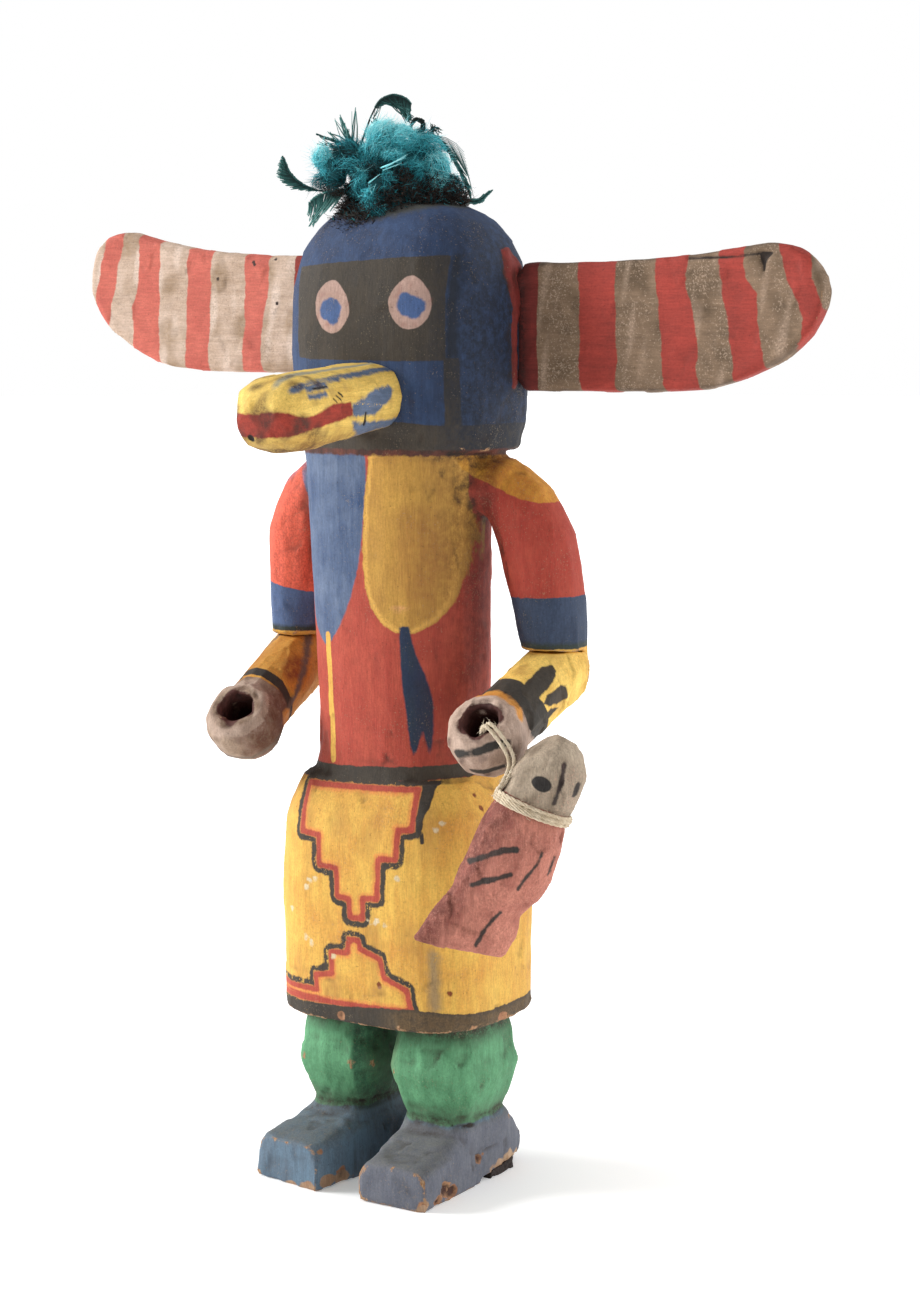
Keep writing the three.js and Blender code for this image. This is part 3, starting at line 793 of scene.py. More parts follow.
LOWER_STEPS = [
    (-36, 57.2), (-33, 60.4), (-15, 60.8), (-15.8, 65.4), (-9.4, 66.6), (-9.8, 73.2), (-3.5, 73.8),
    (-3.1, 78), (0.5, 78), (0.9, 75.5), (7.8, 73.2), (9.5, 67.8), (17, 64.6), (18.6, 58.2),
]
field(figure, "upper_steps", front_of(within(x, z, UPPER_STEPS), 0))
field(figure, "lower_steps", front_of(within(x, z, LOWER_STEPS), 0))
BASE_LINE = [(-33, 59.0), (-24, 58.6), (-10, 58.9)]
field(figure, "base_line", front_of(along_line(across_up, BASE_LINE, 0.45), 0))
KILT_DRIP = [
    (19.2, 127), (22.6, 127), (22.4, 120), (21.4, 117.5), (21.2, 112.6), (19.4, 112.6), (19.2, 118),
]
drip_tail = along_line(across_up, [(21.2, 112), (21.6, 109.6)], 0.6)
field(figure, "kilt_drip", front_of(np.maximum(within(x, z, KILT_DRIP), drip_tail), 0))
FLECKS = [
    (-17.6, -29.1, 94.2), (-15.5, -29.4, 95.5), (-19, -28.8, 92.4), (6.7, -29.7, 84.6),
    (9.6, -29.7, 84.2), (4.4, -29.8, 84.4), (26.2, -23.8, 115.2), (-19.7, -28.5, 76.5),
    (-17.5, -28.9, 75), (24.8, -24.5, 113.6), (14, -29.4, 98.5), (-9, -29.6, 72), (-26, -26, 84),
]
fleck = np.max([0.9 - away_from(start, place) for place in FLECKS], axis=0)
field(figure, "white_flecks", fleck + 0.45 * ripple(start, 2.0, 18))
SPOTS = [
    (30.3, -11.4, 122.6), (32.3, -11.0, 118.8), (7.8, -29.5, 65.4), (29, -23.7, 64.3),
    (24, -25, 103), (31, -14, 112),
]
spot = np.max([0.9 - away_from(start, place) for place in SPOTS], axis=0)
field(figure, "brown_spots", spot + 0.3 * ripple(start, 2.2, 19))
field(figure, "kilt_dirt", patchy(start * (1, 1, 0.35), 12, 20, 0.35) * (z < 127) * (z > 58))
field(figure, "grey_drip", front_of(along_line(across_up, [(25, 76), (25.4, 60)], 1.5), 0))
print("points on white flecks", int((fleck > 0).sum()))

# %% Leg and foot fields
field(figure, "legs", 51.6 - z)
# Painted light: the gap between the legs gets a paler grey-green tint that lifts its shade.
between = np.minimum(8 - np.abs(x - 1), np.minimum(51 - z, z - 18))
field(figure, "between_legs_painted_light", slope(between, 0, 5))
# Painted shade: the far leg's side that faces the other leg is darkened.
inner = slope(normals(figure)[:, 0], 0.35, 0.65) * (x < 1) * (z > 20) * (z < 52)
field(figure, "inner_facet_shade", inner)
# Painted shade: the legs darken just under the kilt's hem.
field(figure, "under_kilt_shade", slope(z, 44, 50) * (z < 51.8))
field(figure, "feet", 20.9 + 0.5 * ripple(start, 9, 8) - z)
field(figure, "near_shoe", np.minimum(x - 1, 20 - z))
BARE = [
    ((-14, -37, 0.5), 4.0), ((-21, -36, 0), 2.6), ((-9, -33, 2), 3.6), ((-8.5, -27, 1.5), 3.2),
    ((28, -37, 1), 2.2), ((30, 6, 3.0), 3.4), ((29, 11, 4.5), 4.0), ((25, 15, 3.5), 4.5),
    ((29.5, 2, 3.2), 2.4), ((-30, 8, 2), 4), ((-14, 16, 2), 4.5),
]
FLATTER = (1, 1, 1.5)  # rubbed spots are wider than they are tall
bare = np.max([
    reach - away_from(start * FLATTER, np.multiply(place, FLATTER)) for place, reach in BARE
], axis=0)
field(figure, "sole_edge", bare + 0.9 * ripple(start, 6, 9))
field(figure, "foot_top", slope(normals(figure)[:, 2], 0.3125, 0.9375) * (z < 26))
field(figure, "ankle", slope(np.abs(z - 23), 5, 0) * (z < 30))
# Painted shade: the head's left side, away from the light, is darkened.
field(figure, "head_left_shade", slope(x, 19, 32) * (z > 224))
field(figure, "lip_shade", slope(x, 41.2, 42.2) * (z > 236) * (z < 290))
field(figure, "ankle_crack", crack - 0.55)
field(figure, "flakes", flake)
field(figure, "flake_hearts", np.minimum(flake - 1.1, 12 - z))
print("points on bare soles", int((bare > 0).sum()))

# %% [markdown]
# ### Coats on the figure
# Brick red first, then the areas over it in the order a painter would lay them. Blacks and
# dark blues were brushed thin, and so their borders and coverage are the least even.

# %% Paint the torso and the arms
paint = Paint("figure_paint", RED, DARK_RED)
paint.coat("panel", GREY_BLUE, BLUE, wobble=0.7, soft=0.3)
paint.coat("oval", tone(188, 144, 66), tone(160, 116, 54), wobble=0.5)
paint.stripe("oval", 0.9, 0.7, tone(206, 158, 76), wobble=0.9, soft=0.5, dry=0.5)
paint.soft_tint("fleck_area", tone(132, 66, 38), 0.3)
paint.soft_tint("scuff", tone(214, 150, 120), 0.7)
paint.coat("cap", tone(222, 164, 60), tone(184, 126, 44), wobble=0.6)
paint.coat("right_shoulder", GREY_BLUE, BLUE, wobble=1.4, soft=0.6, dry=0.3)
paint.coat("drip", DARK_BLUE, tone(40, 52, 66), wobble=0.35, soft=0.25)
paint.coat("belly_line", YELLOW, OCHRE, wobble=0.35)
# Painted light on the right upper arm, painted shade on the left one.
paint.soft_tint("right_arm_painted_light", tone(232, 104, 76), 0.6)
paint.soft_tint("left_arm_painted_shade", tone(136, 34, 24), 0.45)
# Painted shade beside the left arm.
paint.soft_tint("armpit_shade", tone(64, 16, 12), 0.65)
paint.coat("arm_band", tone(54, 66, 88), tone(44, 54, 72), wobble=0.5)
# Painted light: the lighter copy of the arm band on the right arm.
paint.coat("right_band_painted_light", tone(76, 96, 132), tone(60, 76, 108), wobble=0.5)
paint.coat("band_foot", tone(46, 54, 50), wobble=1.0, soft=0.6, dry=0.45)
paint.coat("elbow", YELLOW, OCHRE, wobble=0.4)

# %% Paint the kilt
paint.coat("kilt", YELLOW, OCHRE, wobble=0.3)
paint.soft_tint("kilt_dirt", tone(138, 96, 52), 0.55)
paint.stripe("upper_steps", -1.8, 0.9, BROWN_BLACK, BLACK, wobble=1.1, soft=0.25, dry=0.45)
paint.stripe("upper_steps", 0.5, 1.1, tone(206, 130, 66), wobble=1.2, soft=0.6, dry=0.5)
paint.stripe("upper_steps", 0.0, 0.9, RED, DARK_RED, wobble=0.5, soft=0.25, dry=0.1)
paint.stripe("lower_steps", -1.8, 0.85, BROWN_BLACK, BLACK, wobble=1.2, soft=0.25, dry=0.55)
paint.stripe("lower_steps", 0.5, 1.1, tone(206, 130, 66), wobble=1.2, soft=0.6, dry=0.5)
paint.stripe("lower_steps", 0.0, 0.9, RED, DARK_RED, wobble=0.5, soft=0.25, dry=0.1)
paint.coat("base_line", RED, DARK_RED, wobble=0.5)
paint.coat("kilt_drip", BLACK, BROWN_BLACK, wobble=0.3)
paint.coat("grey_drip", tone(150, 124, 84), wobble=1.2, soft=1.0, dry=0.55)
paint.coat("white_flecks", tone(204, 186, 150), wobble=0.9, soft=0.3, dry=0.45)
paint.coat("brown_spots", tone(120, 62, 30), wobble=0.3, soft=0.2)
paint.coat("belt", BROWN_BLACK, BLACK, wobble=0.6, dry=0.2)
paint.coat("hem", BROWN_BLACK, BLACK, wobble=0.8, dry=0.3)
paint.soft_tint("hem_rub", tone(140, 108, 64), 0.4)

# %% Paint the legs, the feet and the head
paint.coat("legs", GREEN, DARK_GREEN, wobble=0.2)
paint.coat("feet", SHOE, DARK_SHOE, wobble=0.7, soft=0.3)
paint.coat("near_shoe", tone(106, 108, 116), tone(84, 88, 100), wobble=1.5, soft=0.5, dry=0.15)
paint.coat("head", BLUE, DARK_BLUE, wobble=0.25)
# Painted shade at the end of the face band.
paint.coat("band_end_shade", tone(36, 42, 54), tone(30, 34, 44), wobble=0.7, soft=0.6)
paint.coat("face_band", BROWN_BLACK, BLACK, wobble=0.4, dry=0.1)
paint.coat("eyes", tone(176, 146, 134), tone(150, 122, 110), wobble=0.3)
paint.soft_tint("eye_stains", tone(120, 62, 52), 0.5)
paint.coat("pupils", tone(66, 90, 134), tone(58, 78, 116), wobble=0.7, soft=0.3)
paint.coat("chin_bar", BROWN_BLACK, BLACK, wobble=0.4, dry=0.1)
paint.coat("crown", tone(62, 60, 56), tone(78, 82, 80), wobble=3.5, soft=2.0, dry=0.3)
# Painted shade on the head's left side.
paint.soft_tint("head_left_shade", tone(24, 30, 42), 0.95)
# Painted shadow under the head's rim, with red-brown specks.
paint.coat("neck_seam_and_shadow", tone(40, 30, 28), tone(110, 60, 48), wobble=0.8, soft=0.3, dry=0.35)

# %% Painted light and shade, grime, flakes and wear
# Painted shade under the kilt's hem.
paint.soft_tint("under_kilt_shade", GRIME_AND_SHADE, 0.9)
# Painted shade on the far leg's inner side.
paint.soft_tint("inner_facet_shade", tone(26, 54, 44), 0.75)
# Painted light in the gap between the legs.
paint.soft_tint("between_legs_painted_light", tone(120, 144, 108), 0.6)
paint.coat("flakes", tone(146, 96, 68), tone(176, 134, 98), wobble=0.5, soft=0.2)
paint.coat("flake_hearts", tone(84, 42, 30), wobble=0.9, soft=0.3)
paint.soft_tint("foot_top", tone(104, 104, 96), 0.6)
paint.soft_tint("ankle", tone(66, 72, 58), 0.7)
paint.coat("sole_edge", tone(146, 112, 86), tone(184, 156, 128), wobble=0.8, soft=0.25, dry=0.15)
paint.coat("ankle_crack", tone(24, 22, 20), wobble=0.4, soft=0.25)
paint.wear(0.93, 1.04)
paint.coat("lip", tone(122, 42, 36), tone(84, 30, 26), wobble=0.4)
paint.soft_tint("lip_shade", tone(24, 14, 12), 0.95)
# Hollows are darkened: grime, and painted shade where light doesn't reach.
paint.soft_tint("hollow", GRIME_AND_SHADE, 0.75, reach=0.25)
paint.dust(tone(150, 132, 104), 0.02, 0.35)
paint.mottle()
paint.finish(figure, "carved_body")
finish_piece(figure, "body")

# %% [markdown]
# ## The forearms
# Each forearm is a separate stick with a bored fist, glued to a notch below the elbow. Its
# fields are laid out along its own axis: how far from the elbow, and how far round. One
# function carves both and calls another for the coats, because little but the paint differs.

# %% Where the forearms are
ELBOWS = {"left": np.array([48.3, 6.0, 159.0]), "right": np.array([-44.2, 4.5, 157.4])}
FISTS = {"left": np.array([47.0, -31.6, 144.4]), "right": np.array([-42.5, -27.8, 141.0])}
FIST_TILT = math.radians(48)  # the hole leans forward this far
FIST_LEAN = 0.13  # and a little to the left
SKIN_A_DEGREE = 0.21  # mm of skin for each degree round the arm


def along_arm(points, which):
    """How far each point is from the elbow towards the fist, and its angle round the arm."""
    way = unit(FISTS[which] - ELBOWS[which])
    rise = unit(np.array([0, 0, 1]) - way[2] * way)
    side = np.cross(way, rise)
    from_elbow = points - ELBOWS[which]
    return from_elbow @ way, np.degrees(np.arctan2(from_elbow @ side, from_elbow @ rise))


def in_fist(points, which):
    """Places across, up and in front of the fist's middle, in the fist's own tilted frame."""
    up = unit(np.array([FIST_LEAN, -math.sin(FIST_TILT), math.cos(FIST_TILT)]))
    across = unit(np.array([1, 0, 0]) - up[0] * up)
    return (points - FISTS[which]) @ np.stack([across, np.cross(across, up), up], 1)


print("forearm lengths", [round(float(np.linalg.norm(FISTS[key] - ELBOWS[key])), 1) for key in FISTS])

# %% Carve a forearm
def forearm(which, coats):
    piece = blank("carved_forearm_" + which, "forearm_" + which, grain=0.5, rounds=3)
    knife_strokes(piece, 5, 0.5, 31 if which == "left" else 32)
    points = places(piece)
    local = in_fist(points, which)
    mouth = np.exp(-((np.hypot(local[:, 0], local[:, 1]) - 6.2) / 2.2) ** 2) * (local[:, 2] > 3)
    height = 0.07 * ripple(points, 9, 33) + 0.03 * ripple(points, 3, 34)
    height += 0.35 * mouth * ripple(points, 5, 35)
    put(piece, points + normals(piece) * height[:, None])
    edges_and_hollows(piece, 6)
    along, angle = along_arm(points, which)
    centre = np.hypot(local[:, 0], local[:, 1])
    field(piece, "hole", np.minimum(6.1 + 0.6 * ripple(points, 6, 36) - centre, local[:, 2] + 4))
    skin_from = 33.0 if which == "left" else 26.5
    field(piece, "fist_skin", along - skin_from)
    field(piece, "fist_dirt", patchy(points, 6.5, 37, -0.1) * (along > skin_from))
    field(piece, "fist_ring", 1.6 - np.abs(centre - 9.2) - 0.6 * ripple(points, 6, 39))
    field(piece, "arm_dirt", patchy(points, 9, 38, 0.2) * (along < skin_from))
    coats(piece, points, along, angle, local)
    finish_piece(piece, "forearm_" + which)

# %% Paint the left forearm
BACK_RIM = (np.array([(-6, -9, 4.5), (-1, -11, 4.7)]), np.array([(-1, -11, 4.7), (9, -6.5, 4.2)]))


def left_forearm(piece, points, along, angle, local):
    cuff_back = np.interp(angle, (-120, -90, -69, -40, 0, 60, 120), (21.5, 23, 24, 24.5, 23.5, 23, 22))
    cuff_front = np.interp(angle, (-120, -90, -69, -40, 0, 60), (32, 35.5, 37.6, 34.5, 33, 32.5))
    field(piece, "cuff", np.minimum(along - cuff_back, cuff_front - along))
    patches = [
        [(26, -28), (14, -27), (10.6, -36), (10.8, -50), (15.7, -60), (24.3, -64), (28.6, -76), (28, -40)],
        [(11, -80), (12, -100), (17, -97), (21, -88), (24, -76), (21, -68), (13.5, -72)],
        [(21.1, -94), (15.8, -107), (22, -112), (29.6, -108), (33.4, -100), (27, -97)],
    ]
    round_arm = angle * SKIN_A_DEGREE
    near = [
        within(along, round_arm, [(a, degrees * SKIN_A_DEGREE) for a, degrees in patch])
        for patch in patches
    ]
    field(piece, "patches", np.max(near, axis=0))
    field(piece, "back_rim", 2.2 - to_segments(local, *BACK_RIM))
    bands = [
        [(-5, 10.1, 4.2), (2, 9.2, 6), (6.5, 6.8, 7), (9, 4, 5)],
        [(-1, 12, -1.5), (5, 11, -1), (9, 8.5, -1.5)],
    ]
    field(piece, "hole_band", np.max([along_line(local, band, 1.25) for band in bands], axis=0))
    paint = Paint("left_forearm_paint", tone(240, 202, 106), tone(206, 158, 70))
    paint.soft_tint("arm_dirt", tone(156, 108, 50), 0.6)
    paint.coat("cuff", BLACK, BROWN_BLACK, wobble=0.5)
    paint.coat("patches", BROWN_BLACK, BLACK, wobble=0.8, soft=0.3, dry=0.1)
    paint.coat("fist_skin", tone(188, 164, 148), tone(138, 114, 98), wobble=0.5)
    paint.soft_tint("fist_dirt", tone(70, 48, 40), 0.85)
    paint.coat("fist_ring", tone(186, 162, 146), tone(150, 126, 110), wobble=0.9, soft=0.5, dry=0.35)
    paint.coat("back_rim", tone(196, 128, 54), OCHRE, wobble=1.0, soft=0.5, dry=0.2)
    paint.coat("hole_band", BLACK, wobble=0.6, soft=0.3, dry=0.15)
    finish_arm(paint, piece)

# %% Paint the right forearm
def right_forearm(piece, points, along, angle, local):
    band_back = np.interp(angle, (-120, -73, -40, -10, 30, 90), (23.5, 23, 22.3, 21.7, 21.5, 22))
    field(piece, "cuff", np.minimum(along - band_back, band_back + 3.7 - along))
    soft_tint = oval(along, angle * SKIN_A_DEGREE, (15, -11), 7, 5.5)
    field(piece, "red_stain", slope(soft_tint, 0, 2.5))
    field(piece, "inner_side", np.clip(np.sin(np.radians(angle)) * 1.6 + 0.1, 0, 1) * slope(along, 0, 6))
    # Painted shade: the fist's side towards the body is darkened, except at its top.
    fist_side = slope(local[:, 0], 2, 8) * (along > 26) * (local[:, 2] < 6)
    field(piece, "fist_side_shade", fist_side)
    field(piece, "dark_band", 1.0 - np.abs(local[:, 2] + 4.4))
    field(piece, "orange_corner", 4 - away_from(local, (8.5, -5.6, -5.8)))
    paint = Paint("right_forearm_paint", tone(206, 156, 70), tone(190, 128, 50))
    paint.soft_tint("red_stain", tone(112, 56, 34), 0.85)
    paint.soft_tint("inner_side", tone(130, 70, 34), 0.7)
    paint.coat("cuff", BLACK, BROWN_BLACK, wobble=0.5)
    paint.coat("fist_skin", tone(166, 144, 124), tone(118, 94, 76), wobble=0.5)
    paint.soft_tint("fist_dirt", tone(84, 58, 44), 0.85)
    paint.coat("fist_ring", tone(180, 158, 142), tone(146, 122, 106), wobble=0.9, soft=0.5, dry=0.35)
    # Painted shade on the fist's side towards the body.
    paint.soft_tint("fist_side_shade", tone(92, 58, 44), 0.85)
    paint.coat("dark_band", tone(110, 96, 84), wobble=1.2, soft=0.6, dry=0.3)
    paint.coat("orange_corner", tone(206, 150, 84), OCHRE, wobble=1.2, soft=0.6)
    finish_arm(paint, piece)

# %% Finish both forearms
def finish_arm(paint, piece):
    paint.coat("hole", tone(58, 28, 24), tone(84, 44, 36), wobble=1.1, soft=0.3)
    paint.wear(0.9, 1.02)
    # Hollows are darkened: grime, and painted shade where light doesn't reach.
    paint.soft_tint("hollow", GRIME_AND_SHADE, 0.7, reach=0.3)
    paint.mottle()
    paint.finish(piece, "forearms")


forearm("left", left_forearm)
forearm("right", right_forearm)

# %% [markdown]
# ## The ears
# Two flat slats of wood, rounded at their edges with a knife, stand out from the head. Cross
# stripes were painted freehand round each of them, so that front and back match. That is why a
# stripe's field takes no account of y: the outline goes right through the slat.

# %% Carve an ear
def ear(which, ground, second, stripes, coats):
    piece = blank("carved_ear_" + which, "ear_" + which, grain=0.7, rounds=3)
    knife_strokes(piece, 6, 0.35, 41 if which == "left" else 42)
    points = places(piece)
    height = 0.09 * ripple(points, 14, 43) + 0.035 * ripple(points, 4, 44)
    wavy = points[:, 0] + 0.35 * ripple(points, 9, 45)
    field(piece, "stripes", np.max([within(wavy, points[:, 2], stripe) for stripe in stripes], axis=0))
    paint = Paint(f"{which}_ear_paint", ground, second, grain=(0.1, 1.0, 1.0))
    coats(piece, points, height, paint)
    put(piece, points + normals(piece) * height[:, None])
    edges_and_hollows(piece, 6)
    paint.wear(0.94, 1.06)
    # Hollows are darkened: grime, and painted shade where light doesn't reach.
    paint.soft_tint("hollow", GRIME_AND_SHADE, 0.7, reach=0.3)
    paint.mottle()
    paint.finish(piece, "ears")
    finish_piece(piece, "ear_" + which)

# %% Coats of the left ear
SPLIT_END = [(113.8, 281.6), (118, 281.4), (116, 279.6), (115.4, 276.4), (114.4, 279.6)]


def left_ear(piece, points, height, paint):
    x, y, z = points.T
    split = np.maximum(
        along_line(points[:, ::2], [(91.5, 280.4), (104, 280.4), (115.0, 281.2)], 0.65),
        within(x, z, SPLIT_END) + 0.5,
    )
    field(piece, "split", split - 0.35)
    height -= 0.7 * slope(split, 0, 0.6) * (y < 7)
    field(piece, "root", 42.6 + 0.5 * ripple(points, 12, 46) - x)
    field(piece, "root_shade", slope(x, 40.5, 37.5))
    field(piece, "stains", patchy(points, 13, 47, 0.1))
    field(piece, "pale", patchy(points * (1.6, 1, 0.7), 9, 147, 0.3))
    field(piece, "rim", slope(np.abs(normals(piece)[:, 2]), 0.35, 0.75) * (y < 6))
    paint.soft_tint("stains", tone(78, 62, 44), 0.8)
    paint.soft_tint("pale", tone(170, 146, 126), 0.6)
    paint.dust(tone(190, 166, 144), 0.06, 0.42)
    paint.soft_tint("rim", tone(66, 52, 42), 0.7)
    paint.coat("stripes", tone(158, 58, 48), tone(130, 48, 40), wobble=0.7, soft=0.22)
    paint.coat("root", tone(120, 44, 38), tone(88, 32, 28), wobble=0.5)
    paint.soft_tint("root_shade", tone(40, 20, 18), 0.9)
    paint.coat("split", tone(34, 26, 22), wobble=0.25)

# %% Coats of the right ear
def right_ear(piece, points, height, paint):
    x, y, z = points.T
    field(piece, "root", x + 45.2 - 0.03 * (z - 262) + 0.3 * ripple(points, 12, 48))
    field(piece, "stains", patchy(points, 12, 49, 0.1))
    field(piece, "pale", patchy(points * (1.6, 1, 0.7), 9, 149, 0.4))
    dots = [(-52.2, 281.8), (-51.6, 268.1), (-74.5, 275.9), (-60.7, 281.0), (-60.2, 280.2)]
    field(piece, "dots", np.max([0.62 - np.hypot(x - u, z - w) for u, w in dots], axis=0) - 2 * (y > 7))
    paint.soft_tint("stains", tone(134, 108, 78), 0.75)
    paint.soft_tint("pale", tone(226, 206, 192), 0.6)
    paint.dust(tone(120, 98, 76), 0.045, 0.35)
    paint.coat("stripes", tone(198, 104, 88), tone(178, 86, 74), wobble=0.7, soft=0.22)
    paint.coat("root", DARK_RED, tone(120, 40, 34), wobble=0.5)
    paint.coat("dots", tone(52, 38, 34), wobble=0.15, soft=0.15)

# %% Stripes, and both ears
LEFT_STRIPES = [
    [(55.4, 290), (68.6, 290), (68.2, 268), (69.4, 236), (56.6, 236), (57, 262)],
    [(80.2, 292), (90.6, 292), (91.4, 270), (94.2, 262), (95.8, 236), (84.6, 236), (83, 262), (81.6, 272)],
    [
        (99.6, 292), (107.6, 292), (109.6, 274), (113.0, 270), (113.4, 262), (116.6, 246),
        (117.5, 236), (107, 236), (105, 258), (101.6, 276),
    ],
    [
        (118, 294), (125.6, 288), (128.8, 279), (131.6, 270), (133.4, 262), (131, 255), (125, 250),
        (123, 253), (127, 258), (127.4, 263), (123.6, 272), (119.6, 282),
    ],
]
RIGHT_STRIPES = [
    [
        (-63.9, 292), (-54.0, 292), (-55.4, 270), (-58.2, 258), (-57.6, 236), (-66.2, 236),
        (-65.2, 256), (-64, 262),
    ],
    [(-86.2, 296), (-75.6, 296), (-77.6, 276), (-79.6, 236), (-89.2, 236), (-87, 266)],
    [
        (-106, 300), (-96.8, 300), (-98.4, 272), (-99, 260), (-98, 246), (-98, 236), (-112, 240),
        (-109.5, 256), (-108.6, 268), (-106.4, 276),
    ],
    [
        (-119, 300), (-110.8, 298), (-114.5, 282), (-119.3, 262), (-122.2, 256), (-125.2, 262),
        (-124.4, 272), (-120.6, 284),
    ],
]
# The left ear's paints are darker copies of the right ear's: partly grime, and partly painted shade, since
# the left ear lies away from the light.
ear("left", tone(134, 110, 88), tone(98, 80, 62), LEFT_STRIPES, left_ear)
ear("right", tone(200, 176, 158), tone(170, 144, 122), RIGHT_STRIPES, right_ear)

# %% [markdown]
# ## The snout
# A tapering peg, round above and flatter below, glued to the face. The mouth is a red band
# round its tip and along its side, and blue smears were left by a careless brush. The peg
# droops a little, so places are first turned into how far along, how far up and how far aside
# they are; then every outline can be drawn as if the peg lay straight.

# %% Carve the snout
SNOUT_DROOP = math.radians(5.8)
SNOUT_BASE = np.array([1.6, -23.3, 241.2])

snout = blank("carved_snout", "snout", grain=0.6, rounds=3)
knife_strokes(snout, 5, 0.4, 51)
points = places(snout)
way = np.array([0, -math.cos(SNOUT_DROOP), -math.sin(SNOUT_DROOP)])
rise = np.array([0, -math.sin(SNOUT_DROOP), math.cos(SNOUT_DROOP)])
along = (points - SNOUT_BASE) @ way
up = (points - SNOUT_BASE) @ rise
side = points[:, 0] - SNOUT_BASE[0]
own = np.stack([along, side, up], 1)
height = 0.07 * ripple(points, 10, 52) + 0.03 * ripple(points, 3.5, 53)
crack_line = np.minimum(along_line(np.stack([along, up], 1), [(21.6, -2.6), (21.9, -5.8)], 0.7), side)
height -= 0.5 * slope(crack_line, 0, 0.5)
pit = 1.6 - away_from(own, (54.9, -4.4, -5.9))
height -= 0.7 * slope(pit, 0, 0.9)
put(snout, points + normals(snout) * height[:, None])
edges_and_hollows(snout, 6)

# %% Paint the snout
MOUTH_SIDE = [
    (58, 1.8), (54.5, 1.8), (50.7, 0), (47.4, 0), (37.8, 2.2), (29.3, 1.5), (29, -2.2),
    (38.3, -3.1), (49.3, -4.1), (54.6, -5.3), (58, -5.4),
]
mouth = np.where(side > 0, within(along, up, MOUTH_SIDE), np.minimum(along - 52.5, 3.4 - np.abs(up + 2)))
BLUE_SMEAR = [
    (28.8, 1.1), (22.1, 2.0), (17.7, 3.7), (9.5, 4.2), (7.4, 2.1), (10.6, -0.5), (17.2, -3.7),
    (29, -2.5),
]
LOW_SMEAR = [
    (29.5, -3.9), (24, -5.2), (11.3, -5.8), (3.4, -6.4), (3.4, -8.4), (11.3, -8.8), (20.6, -9.6),
    (27, -6.6),
]
smear = np.max([
    np.minimum(within(along, up, BLUE_SMEAR), side - 2),
    np.minimum(within(along, up, LOW_SMEAR), side - 2),
    1.3 - np.hypot(side - 9, up - 8.0),
    np.minimum(1.0 - np.abs(up - 7.6), np.minimum(along - 37.8, 47.4 - along)),
    np.minimum(0.7 - np.abs(up - 5.2), np.minimum(along - 39.6, 47.7 - along)),
], axis=0)
field(snout, "mouth", mouth)
# Painted shade: the snout darkens towards its underside.
field(snout, "low_side_shade", slope(up, -3.5, -9.5))
field(snout, "smudges", patchy(points, 6, 54, 0.35))
field(snout, "mouth_dirt", patchy(points, 7, 55, -0.2) * (along > 40))
field(snout, "smear", np.minimum(smear, side + 3))
field(snout, "top_line", 1.5 - np.hypot(side - 3.5, (up - 10.6) * 0.7))
scratches = [
    [(35.8, 4.2), (33.8, 2.6)], [(34.2, 4.8), (32.6, 3.6)], [(37.4, 3.6), (36.2, 2.4)],
    [(44.6, 7.2), (38.4, 7.0)],
]
flat = np.stack([along, up], 1)
scratch = np.minimum(np.max([along_line(flat, line, 0.3) for line in scratches], axis=0), side - 2)
field(snout, "dark_marks", np.max([crack_line - 0.2, pit - 0.3, scratch], axis=0))
# Painted shade: a dark spot on the edge where the tip meets the mouth's side.
field(snout, "tip_corner_shade", slope(away_from(own, (51, 11, -2)), 4, 2))
paint = Paint("snout_paint", tone(228, 196, 104), tone(194, 154, 72), grain=(1.0, 0.1, 1.0))
# Painted shade on the snout's underside.
paint.soft_tint("low_side_shade", tone(96, 56, 34), 0.85)
paint.soft_tint("smudges", tone(132, 108, 72), 0.4)
paint.coat("smear", GREY_BLUE, tone(70, 84, 104), wobble=1.2, soft=0.5, dry=0.42)
paint.coat("top_line", tone(146, 142, 120), wobble=1.2, soft=0.6, dry=0.4)
paint.coat("mouth", tone(156, 56, 42), tone(112, 40, 30), wobble=0.7, soft=0.35, dry=0.12)
paint.soft_tint("mouth_dirt", tone(60, 34, 26), 0.75)
# Painted shade at the corner of the tip.
paint.soft_tint("tip_corner_shade", tone(60, 44, 36), 0.8)
paint.coat("dark_marks", tone(24, 20, 18), wobble=0.2)
paint.wear(0.92, 1.04)
# Hollows are darkened: grime, and painted shade where light doesn't reach.
paint.soft_tint("hollow", GRIME_AND_SHADE, 0.6, reach=0.3)
paint.mottle()
paint.finish(snout, "snout")
finish_piece(snout, "snout")

# %% [markdown]
# ## The fish
# A small offering, whittled with few strokes, so that flats and ridges are plain. Its places
# are squeezed along the grain before the strokes are spread, which makes each of them long, and
# they may cut deeper than elsewhere. Its head is white and its body a grainy pink; a painter's
# fine brush drew the eye, gills and fins.

# %% Carve the fish
FISH_NECK = np.array([64.9, -36.5, 126.2])
FISH_YAW = math.radians(33)
FISH_LEAN = math.radians(23)
FISH_TURN = np.array(Matrix.Rotation(FISH_YAW, 3, "Z") @ Matrix.Rotation(FISH_LEAN, 3, "Y"))

fish = blank("carved_fish", "fish", grain=0.45, rounds=2)
knife_strokes(fish, 7, 0.5, 61, stretch=(1, 1, 0.45), deepest=1.0)
points = places(fish)
local = (points - FISH_NECK) @ FISH_TURN
across, rise = local[:, 0], local[:, 2]
facing = -local[:, 1]
height = 0.06 * ripple(points, 7, 62) + 0.05 * ripple(points, 2.2, 63) + 0.03 * ripple(points, 1.1, 64)
put(fish, points + normals(fish) * height[:, None])
edges_and_hollows(fish, 5)

